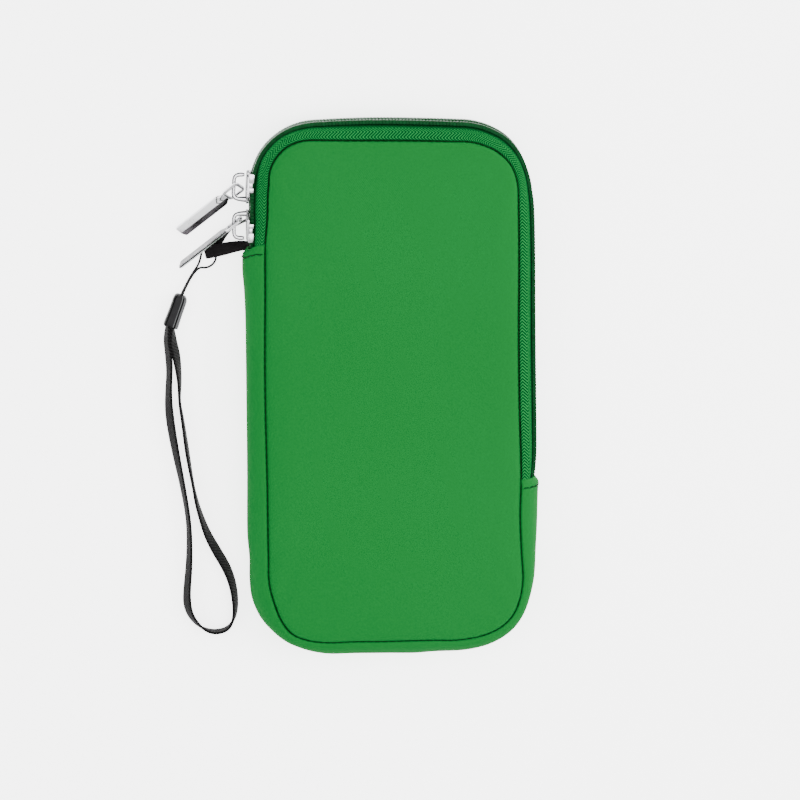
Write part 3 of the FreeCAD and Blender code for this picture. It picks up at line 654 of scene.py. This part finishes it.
# How far the webbing's top edge leans out of the loop, in degrees, along its run.
WEBBING_LEAN = (
    (0, 8), (4, 15), (8, 19), (13, 20), (18, 16), (25, 20), (33, 28), (45, 24), (57, 16), (69, 12),
    (78, 14), (87, 18), (96, 22), (101, 26), (108, 18), (115, 2), (121, 4), (126, 14), (132, 22),
    (138, 26), (144, 30), (151, 30), (157, 24), (164, 14), (170, 8), (176, 3), (188, 10), (199, 6),
    (206, 3), (212, 10), (218, 20), (222, 27), (226, 28), (229, 22), (232, 10),
)


def line_stations(places, lean=None, pole=Z_AXIS):
    """Stations along a line of places: out is square to the line and to the pole, and up to line and out."""
    stations, run = [], 0.0
    for i, place in enumerate(places):
        if i:
            run += (place - places[i - 1]).length
        ahead = (places[min(i + 1, len(places) - 1)] - places[max(i - 1, 0)]).normalized()
        out = pole.cross(ahead).normalized()
        up = ahead.cross(out)
        if lean:
            turn = Matrix.Rotation(-math.radians(eased(lean, run)), 3, ahead)
            out, up = turn @ out, turn @ up
        stations.append((run, turned(place, out, up)))
    return stations


def rounded_section(width, height, corner, steps=3):
    """A rectangle about the middle with rounded corners, as section points."""
    points = []
    for quarter, (side, end) in enumerate(((1, 1), (-1, 1), (-1, -1), (1, -1))):
        for step in range(steps + 1):
            angle = QUARTER * (quarter + step / steps)
            points.append((side * (width / 2 - corner) + corner * math.cos(angle),
                           end * (height / 2 - corner) + corner * math.sin(angle)))
    return points


def ring(count, radius=1.0):
    """A round section."""
    turns = [2 * math.pi * i / count for i in range(count)]
    return [(radius * math.cos(turn), radius * math.sin(turn)) for turn in turns]


CORD_RADIUS = 0.38
WEBBING_WIDTH, WEBBING_THICKNESS, WEBBING_RISE = 5.0, 0.9, 2.6


def make_cord():
    line = smooth_line("cord_line", strap_places(CORD_ROUTE))
    bm = sweep(ring(12, CORD_RADIUS), line_stations([place / MM for place in line]))
    piece = finish_piece("strap_cord_braid", bm, BRAID, stands_for=["strap_cord"])


def make_webbing():
    line = smooth_line("webbing_line", strap_places(WEBBING_ROUTE, WEBBING_RISE))
    section = rounded_section(WEBBING_THICKNESS, WEBBING_WIDTH, 0.3)
    bm = sweep(section, line_stations([place / MM for place in line], WEBBING_LEAN))
    piece = finish_piece("wrist_webbing_band", bm, WEBBING, stands_for=["wrist_webbing"])


# Panels

PANEL_SIDE, PANEL_END, PANEL_TOP = 40.0, 84.9, 20.95
# How the panel's edge rolls over to its seam, in steps of (outward, up).
PANEL_ROLL = ((1.6, -0.2), (0.9, -0.4), (0.6, -0.65), (0.3, -0.8), (0.05, -1.3))
# Slow waves of the front: their height, their turn per millimetre across and up, and where they start.
PANEL_WAVES = ((0.16, 0.115, 0.05, 0.6), (0.12, -0.06, 0.075, 1.1))
# How far into the panel its seam draws it along, the heights below which it is sewn down and has no waves,
# and the pressure, frames and reach with which it is blown up.
SEAM_DRAW, SEWN_HEIGHT, WAVE_HEIGHT = 30, 19.4, 19.0
PAD_PRESSURE, PAD_FRAMES, PAD_REACH = 4.0, 20, 1.0


def panel_corner(spot):
    """The radius of the panel's flat at its corner nearest to a spot."""
    return (TOP_RADIUS if spot.y > 0 else BOTTOM_RADIUS) - SIDE + PANEL_SIDE


def panel_out(spot):
    """The way out of the panel at a spot on its edge."""
    radius = panel_corner(spot)
    across, up = PANEL_SIDE - radius, PANEL_END - radius
    core = Vector((max(-across, min(across, spot.x)), max(-up, min(up, spot.y)), spot.z))
    return (spot - core).normalized()


def panel_sheet():
    """A panel's pad: a grid drawn in at its corners, rolled over at its edge, and closed below."""
    bm = bmesh.new()
    bmesh.ops.create_grid(bm, x_segments=54, y_segments=114, size=1.0)
    for vert in bm.verts:
        spot = Vector((vert.co.x * PANEL_SIDE, vert.co.y * PANEL_END, PANEL_TOP))
        radius = panel_corner(spot)
        a = (abs(spot.x) - PANEL_SIDE) / radius + 1
        b = (abs(spot.y) - PANEL_END) / radius + 1
        if a > 0 and b > 0:
            spot.x -= math.copysign(radius * a * (1 - math.sqrt(1 - b * b / 2)), spot.x)
            spot.y -= math.copysign(radius * b * (1 - math.sqrt(1 - a * a / 2)), spot.y)
        vert.co = spot
    edges = [edge for edge in bm.edges if edge.is_boundary]
    for outward, rise in PANEL_ROLL:
        verts, edges = grow(bm, edges)
        for vert in verts:
            vert.co += panel_out(vert.co) * outward + Vector((0, 0, rise))
    for edge in edges:
        edge.smooth = False
    bmesh.ops.edgeloop_fill(bm, edges=edges)
    bmesh.ops.recalc_face_normals(bm, faces=bm.faces)
    return bm


def sorted_copy(bm):
    """A shape's points sorted by place, and its copy in metres, built in that order each run."""
    points = sorted(bm.verts, key=lambda vert: tuple(vert.co))
    rank = {vert: i for i, vert in enumerate(points)}
    shape = bmesh.new()
    fresh = [shape.verts.new(vert.co * MM) for vert in points]
    rows = []
    for face in bm.faces:
        row = [rank[vert] for vert in face.verts]
        first = row.index(min(row))
        rows.append(row[first:] + row[:first])
    for row in sorted(rows):
        shape.faces.new([fresh[i] for i in row])
    return points, shape


def plump(bm, reach):
    """Blows a pad up as cloth that is sewn down all round: no point moves further than its reach."""
    points, shape = sorted_copy(bm)
    mesh = bpy.data.meshes.new("blown_pad")
    shape.to_mesh(mesh)
    shape.free()
    pad = bpy.data.objects.new("blown_pad", mesh)
    bpy.context.scene.collection.objects.link(pad)
    sewn = [i for i, vert in enumerate(points) if vert.co.z < SEWN_HEIGHT]
    pad.vertex_groups.new(name="sewn").add(sewn, 1.0, "REPLACE")
    settings = pad.modifiers.new("cloth", "CLOTH").settings
    settings.vertex_group_mass = "sewn"
    settings.use_pressure = True
    settings.uniform_pressure_force = PAD_PRESSURE
    settings.effector_weights.gravity = 0.0
    for step in range(1, PAD_FRAMES + 1):
        bpy.context.scene.frame_set(step)
    blown = pad.evaluated_get(bpy.context.evaluated_depsgraph_get()).data
    for vert, end in zip(points, blown.vertices):
        way = end.co / MM - vert.co
        vert.co += way * (reach / (reach + way.length))
    bpy.data.objects.remove(pad)
    bpy.data.meshes.remove(mesh)
    bpy.context.scene.frame_set(1)


def make_front_panel():
    bm = panel_sheet()
    seam = KDTree(int(ROUND_TRIP) + 1)
    for run in range(int(ROUND_TRIP) + 1):
        spot, out = wall_at(run)
        seam.insert(spot + out * (SEAM_SIDE - SIDE), run)
    seam.balance()
    for vert in bm.verts:
        x, y, z = vert.co
        inside = max(0.0, 1 - (x / SEAM_SIDE) ** 2) * max(0.0, 1 - (y / SEAM_END) ** 2)
        if z > WAVE_HEIGHT:
            waves = (high * math.sin(a * x + b * y + start) for high, a, b, start in PANEL_WAVES)
            vert.co.z += inside * sum(waves)
        _, i, gap = seam.find((vert.co.x, vert.co.y, 0))
        vert.co += front_lie(i, vert.co.z) * max(0.0, 1 - gap / SEAM_DRAW) ** 2
    plump(bm, PAD_REACH)
    piece = finish_piece("front_panel_pad", bm, PANEL_FABRIC, stands_for=["front_panel"])


def make_back_panel():
    bm = panel_sheet()
    bmesh.ops.scale(bm, vec=(1, 1, -1), verts=bm.verts)
    bmesh.ops.translate(bm, vec=(0, 0, 2 * MID), verts=bm.verts)
    bmesh.ops.recalc_face_normals(bm, faces=bm.faces)
    piece = finish_piece("back_panel_pad", bm, PANEL_FABRIC, stands_for=["back_panel"])


# Side wall

def both_sides(half):
    """A wall's section from its front half, given as places (x, z) at the pouch's right side."""
    front = [(x - SIDE, z) for x, z in half]
    return front + [(out, 2 * MID - z) for out, z in reversed(front) if z != MID]


GUSSET_SECTION = both_sides((
    (43.55, 17.6), (43.7, 18.7), (44.3, 19.15), (45.3, 18.95), (47.0, 17.9), (48.7, 16.0),
    (49.8, 13.6), (SIDE, MID),
))
# How far the wall's hem stands out, by the distance from its end.
HEM = ((0, -1.7), (0.6, -1.2), (1.5, -0.5), (2.3, 0.1), (3.1, -0.2), (3.9, 0.05), (5.2, 0.0))


HEM_LENGTH, GUSSET_CLOTH = 5.2, 1.0
# How far the left hem is drawn to the pouch's top: from that height above mid depth, over that much height,
# and fading over that run.
DRAWN, DRAWN_FROM, DRAWN_OVER, DRAWN_RUN = 2.5, 3.2, 4.8, 24


def gusset_lie(place, run):
    """Where a place on the side wall comes to lie: hemmed at both ends, and drawn up at the left one."""
    share = max(0.0, 1 - abs(place.z - MID) / HEM_DEPTH)
    hem = eased(HEM, min(run - ZIP_RUN, ROUND_TRIP - run)) * share ** 0.35
    drawn = max(0.0, min(1.0, (place.z - MID - DRAWN_FROM) / DRAWN_OVER))
    drawn *= max(0.0, 1 - (ROUND_TRIP - run) / DRAWN_RUN)
    return lie(place, run, GUSSET_EASE) + wall_at(run)[1] * hem + Y_AXIS * (DRAWN * drawn)


def make_gusset():
    near, far = ZIP_RUN + HEM_LENGTH, ROUND_TRIP - HEM_LENGTH
    stations = wall_stations(ZIP_RUN, near, 0.4) + wall_stations(near, far, 1.6)[1:]
    stations += wall_stations(far, ROUND_TRIP, 0.4)[1:]
    bm = sweep(GUSSET_SECTION, stations, closed=False)
    along = bm.verts.layers.float["along"]
    for vert in bm.verts:
        vert.co = gusset_lie(vert.co, vert[along])
    bmesh.ops.recalc_face_normals(bm, faces=bm.faces)
    piece = finish_piece("bottom_gusset_pad", bm, PANEL_FABRIC, stands_for=["bottom_gusset"])
    thicken(piece, GUSSET_CLOTH)


# Zip

TAPE_SECTION = [(x - SIDE, z) for x, z in (
    (43.65, 17.8), (43.9, 18.75), (44.5, 18.9), (45.6, 18.2), (46.5, 16.8), (46.9, 15.2),
    (47.05, 13.5), (47.3, 12.2), (47.55, 11.2),
)]
# How far the tape is tucked in under the side wall, and its thickness.
TAPE_TUCK, TAPE_CLOTH = 2.0, 0.5
# The coil's loops: pitch, size (out, up and along) and rounding, their place in from the chain's side and off
# the middle of the depth, and where the rows start and how far they run past the zip's end.
COIL_PITCH, COIL_LOOP, COIL_ROUNDING = 1.15, (1.4, 2.8, 1.16), 0.2
COIL_INSET, COIL_OFFSET = 0.68, 1.35
COIL_START, COIL_OVERRUN = 0.6, 1.5
# How much further each row of the coil stands off the middle where the sliders run.
OPENING = ((6.2, 0.0), (7.6, 0.3), (12, 0.3), (54, 0.3), (58, 0.0))


def make_tape(name, node, section):
    bm = sweep(section, wall_stations(-TAPE_TUCK, ZIP_RUN + TAPE_TUCK, 1.4), closed=False)
    relax(bm, ZIP_EASE)
    piece = finish_piece(name, bm, ZIP_TAPE, stands_for=[node])
    thicken(piece, TAPE_CLOTH)


def make_coil(name, node, side, first):
    """A row of the coil: one short loop over and over. Side is 1 for the front row, -1 for the back."""
    bm = bmesh.new()
    bmesh.ops.create_cube(bm, size=1.0, matrix=Matrix.Diagonal((*COIL_LOOP, 1)))
    soften(bm, bm.edges[:], COIL_ROUNDING, 1)
    corners = bm.verts[:]
    loop = corners + bm.edges[:] + bm.faces[:]
    for i in range(int((ZIP_RUN + COIL_OVERRUN - first) / COIL_PITCH)):
        run = first + i * COIL_PITCH
        spot, out = wall_at(run)
        place = spot + out * (CHAIN_SIDE - SIDE - COIL_INSET)
        place.z = MID + side * (COIL_OFFSET + eased(OPENING, run))
        copied = points_of(bmesh.ops.duplicate(bm, geom=loop)["geom"])
        bmesh.ops.transform(bm, matrix=turned(lie(place, run, ZIP_EASE), out, Z_AXIS), verts=copied)
    bmesh.ops.delete(bm, geom=corners, context="VERTS")
    bmesh.ops.recalc_face_normals(bm, faces=bm.faces)
    finish_piece(name, bm, COIL, stands_for=[node], smooth=False)


# Sewing

STITCH, STEPS_PER_STITCH = 2.6, 4
SEAM_THREAD, THREAD_SIDE, THREAD_HEIGHT = 0.2, 43.56, 18.95
TOP_THREAD, TOP_THREAD_PROUD, TOP_THREAD_INSET = 0.22, 0.12, 3.1
BINDING_SIDE, BINDING_HEIGHT, BINDING_STEPS = 41.5, 17.3, 300


def stitched(run, placement, radius):
    """A station of a row of stitches: the thread dips and thins where it goes into the cloth."""
    dip = abs(math.cos(math.pi * run / STITCH)) ** 6
    sunk = Matrix.Translation((0, -1.1 * radius * dip, 0))
    return run, placement @ sunk @ Matrix.Scale(radius * (1 - 0.45 * dip), 4)


def make_seam(name, node, front):
    """Stitches all round a panel, down in the groove between it and the wall."""
    stops = round(ROUND_TRIP / STITCH) * STEPS_PER_STITCH
    step = STITCH / STEPS_PER_STITCH
    stations = []
    for i in range(stops):
        run = ROUND_TRIP * i / stops
        spot, out = wall_at(run)
        place = spot + out * (THREAD_SIDE - SIDE)
        if front:
            place.z = THREAD_HEIGHT
            placement = turned(place + front_lie(run, place.z), out, Z_AXIS)
        else:
            place.z = 2 * MID - THREAD_HEIGHT
            placement = turned(place, -out, -Z_AXIS)
        stations.append(stitched(i * step, placement, SEAM_THREAD))
    bm = sweep(ring(8), stations, lap=stops * step)
    finish_piece(name, bm, THREAD, stands_for=[node])


def make_topstitch(name, node, run):
    """A row of stitches across the wall, where its hem is sewn down."""
    spot, out = wall_at(run)
    places = []
    for (low, z_low), (high, z_high) in zip(GUSSET_SECTION[2:], GUSSET_SECTION[3:-2]):
        for step in range(8):
            share = step / 8
            place = spot + out * (low + (high - low) * share + TOP_THREAD_PROUD)
            place.z = z_low + (z_high - z_low) * share
            places.append(gusset_lie(place, run))
    line = line_stations(places, pole=Z_AXIS.cross(out))
    stations = [stitched(walked, placement, TOP_THREAD) for walked, placement in line]
    finish_piece(name, sweep(ring(8), stations), THREAD, stands_for=[node])


def make_binding(name, node, front):
    """The tape over a seam's raw edges, inside the pouch."""
    stations = []
    for i in range(BINDING_STEPS):
        run = ROUND_TRIP * i / BINDING_STEPS
        spot, out = wall_at(run)
        place = spot + out * (BINDING_SIDE - SIDE)
        place.z = BINDING_HEIGHT if front else 2 * MID - BINDING_HEIGHT
        stations.append((run, turned(place + front_lie(run, place.z), out, Z_AXIS)))
    bm = sweep(rounded_section(2.9, 1.0, 0.4), stations, lap=ROUND_TRIP)
    finish_piece(name, bm, BINDING, stands_for=[node])


# Sliders and pulls

CHAIN_RADIUS = TOP_RADIUS - (SIDE - CHAIN_SIDE)
# Where the sliders are parked: the upper one in degrees round the corner, the lower one up the pouch.
UPPER_PARK, LOWER_PARK = -3.3, 57.099
UPPER_SLIDER = (
    Matrix.Translation((TOP_RADIUS - SIDE, END - TOP_RADIUS, MID))
    @ Matrix.Rotation(math.radians(UPPER_PARK), 4, "Z")
    @ Matrix.Translation((-CHAIN_RADIUS, 0, 0))
    @ Matrix.Rotation(math.pi, 4, "Y")
)
LOWER_SLIDER = Matrix.Translation((-CHAIN_SIDE, LOWER_PARK, MID)) @ Matrix.Rotation(math.pi, 4, "Z")
# The bridge's middle line, out of the zip and along it, from its foot at the nose to its free end,
# and how thick it is at each point.
BRIDGE = (
    (0.6, -4.25), (2.2, -4.25), (3.6, -4.2), (4.55, -3.9), (5.1, -3.3), (5.3, -2.5), (5.3, 0.0),
    (5.3, 2.5), (5.1, 3.3), (4.55, 3.9), (3.6, 4.2), (2.6, 4.25), (1.8, 4.25),
)
BRIDGE_SIZES = (1.5, 1.35, 1.15, 1.05, 1.0, 1.0, 1.0, 1.0, 1.0, 1.05, 1.1, 1.1, 0.8)
BRIDGE_TOP, BRIDGE_WIDTH, BRIDGE_THICKNESS = 5.3, 1.3, 1.25
UPPER_EYE = UPPER_SLIDER @ Vector((BRIDGE_TOP, -1.6, 0))
LOWER_EYE = LOWER_SLIDER @ Vector((BRIDGE_TOP, -0.6, 0))


def block(bm, low, high, corner):
    """A box with rounded edges from its low corner to its high one."""
    middle = [(a + b) / 2 for a, b in zip(low, high)]
    span = [b - a for a, b in zip(low, high)]
    place = Matrix.Translation(middle) @ Matrix.Diagonal((*span, 1))
    made = bmesh.ops.create_cube(bm, size=1.0, matrix=place)
    edges = list({edge for vert in made["verts"] for edge in vert.link_edges})
    soften(bm, edges, corner)


def plate(bm, outline, low, high, corner):
    """A plate of that outline (along, across) with rounded edges."""
    face = bm.faces.new([bm.verts.new((low, along, across)) for along, across in outline])
    verts = points_of(bmesh.ops.extrude_face_region(bm, geom=[face])["geom"])
    bmesh.ops.translate(bm, vec=(high - low, 0, 0), verts=verts)
    edges = list({edge for vert in verts for edge in vert.link_edges} | set(face.edges))
    soften(bm, edges, corner)


def add_to(bm, other):
    """Puts another shape into this one."""
    mesh = bpy.data.meshes.new("shape")
    other.to_mesh(mesh)
    other.free()
    bm.from_mesh(mesh)
    bpy.data.meshes.remove(mesh)


def slider_outline(length, cut=1.2):
    """A slider's plate, with a tapered nose first and cut corners at its tail."""
    half, nose, tail = length / 2, SLIDER_NOSE / 2, SLIDER_TAIL / 2
    row = [(-half, nose - 2.2), (-half + 2.6, nose), (half - cut, tail), (half, tail - cut)]
    return row + [(along, -across) for along, across in reversed(row)]


# The slider's side walls and divider: low and high corner (out, along, across), and rounding.
SLIDER_WALLS = (
    ((-1.35, 2.0, 3.3), (0.7, 5.2, 4.25), 0.25),
    ((-1.35, -1.3, 3.3), (0.7, 0.35, 4.25), 0.25),
    ((-0.9, 0.1, 3.3), (0.7, 2.2, 3.75), 0.15),
)
DIVIDER = ((-2.9, -4.3, -0.2), (0.4, -2.2, 0.2), 0.08)
CROWN_LENGTH, CROWN_LOW, CROWN_HIGH = 10.7, 0.15, 1.05
SOLE_LENGTH, SOLE_LOW, SOLE_HIGH = 8.6, -3.6, -2.7
SLIDER_NOSE, SLIDER_TAIL, PLATE_ROUNDING = 9.2, 8.2, 0.3
# A spot on the metal's map that is off the bridge's flanks and their painted dark reflection.
PLAIN_METAL = (0.0, 0.7)


def make_slider(name, body, place):
    """X is out of the zip, Y is to the slider's tail and Z is across it."""
    line = line_stations([Vector((out, along, 0)) for out, along in BRIDGE])
    stations = [(i, placement @ Matrix.Scale(BRIDGE_SIZES[i], 4)) for i, (_, placement) in enumerate(line)]
    bm = sweep(rounded_section(BRIDGE_THICKNESS, BRIDGE_WIDTH, 0.4, 2), stations)
    plate(bm, slider_outline(CROWN_LENGTH), CROWN_LOW, CROWN_HIGH, PLATE_ROUNDING)
    plate(bm, slider_outline(SOLE_LENGTH), SOLE_LOW, SOLE_HIGH, PLATE_ROUNDING)
    block(bm, *DIVIDER)
    for side in (-1, 1):
        for (low_out, low_along, near), (high_out, high_along, far), corner in SLIDER_WALLS:
            low, high = sorted((side * near, side * far))
            block(bm, (low_out, low_along, low), (high_out, high_along, high), corner)
    bmesh.ops.recalc_face_normals(bm, faces=bm.faces)
    bmesh.ops.transform(bm, matrix=place, verts=bm.verts)
    weave = bm.loops.layers.uv["weave"]
    for loop in [loop for face in bm.faces for loop in face.loops if not loop[weave].uv.length]:
        loop[weave].uv = PLAIN_METAL
    finish_piece(name, bm, METAL, body=body, stands_for=[body], crisp=35)


# The pull's roofed section (thickness, width), and how its width and thickness grow along it from its neck.
ROOF = (
    (-0.6, 2.8), (-0.6, -3.2), (-0.4, -3.45), (-0.1, -3.5), (0.1, -3.35), (0.93, 0.0), (0.96, 0.45),
    (0.9, 0.65), (0.3, 2.85), (0.15, 3.0), (-0.4, 3.0),
)
PULL_GROWTH = (
    (2.9, 0.5, 0.7), (3.5, 0.55, 0.8), (4.2, 0.66, 0.85), (4.8, 0.82, 0.9), (5.4, 0.95, 0.95),
    (6.0, 0.99, 1.0), (6.4, 1.0, 1.0), (10.0, 1.0, 1.0), (14.0, 1.0, 1.0), (18.0, 1.0, 1.0),
    (22.0, 1.0, 1.0), (23.5, 1.0, 1.0), (23.9, 0.97, 0.95), (24.1, 0.92, 0.8),
)
# The middle of the eye's rim, along the pull and across it.
EYE = (
    (2.95, 0.0), (2.95, 1.3), (2.85, 1.85), (2.5, 2.25), (1.9, 2.35), (0.0, 2.35), (-1.9, 2.35),
    (-2.5, 2.25), (-2.85, 1.85), (-2.95, 1.3), (-2.95, 0.0),
)


def make_pull(name, body, finish, eye, swing, droop, twist):
    """X is to the pull's tip, Y through it and Z across its face; its eye is round the origin."""
    stations = []
    for along, wide, thick in PULL_GROWTH:
        placement = turned(Vector((along, 0, 0)), Y_AXIS, Z_AXIS)
        stations.append((along, placement @ Matrix.Diagonal((thick, wide, 1, 1))))
    bm = sweep(ROOF, stations)
    rim = [Vector((along, 0, across)) for along, across in EYE]
    rim += [Vector((along, 0, -across)) for along, across in EYE[-2:0:-1]]
    spots = []
    for i, place in enumerate(rim):
        ahead = (rim[(i + 1) % len(rim)] - rim[i - 1]).normalized()
        out = Y_AXIS.cross(ahead)
        spots.append((i, turned(place, out, ahead.cross(out))))
    add_to(bm, sweep(rounded_section(1.0, 1.2, 0.45, 2), spots, lap=len(rim)))
    place = (Matrix.Translation(eye) @ Matrix.Rotation(math.radians(180 + swing), 4, "Z")
             @ Matrix.Rotation(math.radians(droop), 4, "Y") @ Matrix.Rotation(math.radians(twist), 4, "X"))
    bmesh.ops.transform(bm, matrix=place, verts=bm.verts)
    finish_piece(name, bm, finish, body=body, stands_for=[body], crisp=12)


# Ribbon and bead

# The ribbon's middle line, from the seam to its fold and back, and its roll along its run, in degrees.
RIBBON_LINE = (
    (-46.4, 49.2, 6.6), (-49.4, 49.5, 6.3), (-53.0, 48.9, 5.3), (-56.8, 47.9, 4.0), (-60.2, 46.9, 2.8),
    (-62.4, 46.3, 2.2), (-63.6, 46.1, 1.35), (-62.6, 46.5, 0.6), (-60.0, 49.2, 1.0), (-57.5, 51.9, 2.3),
    (-55.6, 53.6, 2.4), (-52.5, 56.2, 3.0), (-47.4, 58.6, 3.4),
)
RIBBON_WIDTH, RIBBON_THICKNESS = 4.4, 0.5
RIBBON_ROLL = ((0, 66), (4, 56), (8, 38), (12, 16), (16, 2), (20, 0), (26, 25), (30, 65), (33, 85), (42, 85))


def make_ribbon():
    line = [place / MM for place in smooth_line("ribbon_line", RIBBON_LINE)]
    wide = Vector((0.22, -0.975, 0))
    stations, run = [], 0.0
    for i, place in enumerate(line):
        run += (place - line[i - 1]).length if i else 0.0
        ahead = (line[min(i + 1, len(line) - 1)] - line[max(i - 1, 0)]).normalized()
        out = Matrix.Rotation(math.radians(eased(RIBBON_ROLL, run)), 3, ahead) @ wide
        stations.append((run, turned(place, out, ahead.cross(out).normalized())))
    bm = sweep(rounded_section(RIBBON_WIDTH, RIBBON_THICKNESS, 0.2, 2), stations)
    finish_piece("ribbon_tab_band", bm, RIBBON, stands_for=["ribbon_tab"])


# The bead's section (across, up), with a groove between its face and its side, and its size along it.
BEAD_SECTION = (
    (-2.2, 0.5), (-1.9, 0.1), (1.8, 0.1), (2.6, 0.5), (2.6, 2.9), (2.45, 3.5), (1.65, 3.75),
    (1.35, 3.45), (1.12, 3.45), (1.0, 4.2), (0.75, 4.4), (-1.45, 4.4), (-1.95, 4.15), (-2.2, 3.5),
)
BEAD_TAPER = (
    (-5.9, 0.92, 0.86), (-5.65, 1.06, 0.95), (-4.9, 1.07, 1.0), (-3.0, 1.04, 1.0), (0.0, 1.0, 1.0),
    (3.4, 1.0, 1.0), (4.6, 0.97, 0.98), (5.3, 0.88, 0.93), (5.75, 0.72, 0.82), (5.95, 0.5, 0.66),
)


BEAD_MIDDLE, BEAD_LEAN = Vector((-73.8, 25.86, 0)), math.radians(20)


def make_bead():
    axis = Vector((math.sin(BEAD_LEAN), math.cos(BEAD_LEAN), 0))
    stations = []
    for along, wide, high in BEAD_TAPER:
        placement = turned(BEAD_MIDDLE + axis * along, axis.cross(Z_AXIS), Z_AXIS)
        stations.append((along, placement @ Matrix.Diagonal((wide, high, 1, 1))))
    bm = sweep(BEAD_SECTION, stations)
    finish_piece("strap_crimp_bead", bm, BEAD, stands_for=["strap_crimp"], crisp=40)


make_cord()
make_webbing()
make_front_panel()
make_back_panel()
make_gusset()
make_tape("front_zip_tape_weave", "front_zip_tape", TAPE_SECTION)
make_tape("back_zip_tape_weave", "back_zip_tape", [(out, 2 * MID - up) for out, up in TAPE_SECTION])
make_coil("front_zip_coil_row", "front_zip_coil", 1, COIL_START)
make_coil("back_zip_coil_row", "back_zip_coil", -1, COIL_START + COIL_PITCH / 2)
make_seam("front_seam_stitches", "front_seam_thread", True)
make_seam("back_seam_stitches", "back_seam_thread", False)
make_topstitch("left_topstitch_row", "left_topstitch", ROUND_TRIP - TOP_THREAD_INSET)
make_topstitch("right_topstitch_row", "right_topstitch", ZIP_RUN + TOP_THREAD_INSET)
make_binding("front_seam_binding_tape", "front_seam_binding", True)
make_binding("back_seam_binding_tape", "back_seam_binding", False)
make_slider("upper_slider_casting", "upper_slider", UPPER_SLIDER)
make_slider("lower_slider_casting", "lower_slider", LOWER_SLIDER)
make_pull("upper_pull_tag", "upper_pull", UPPER_PULL_METAL, UPPER_EYE, swing=40, droop=14, twist=50)
make_pull("lower_pull_tag", "lower_pull", LOWER_PULL_METAL, LOWER_EYE, swing=39.5, droop=11, twist=0)
make_ribbon()
make_bead()
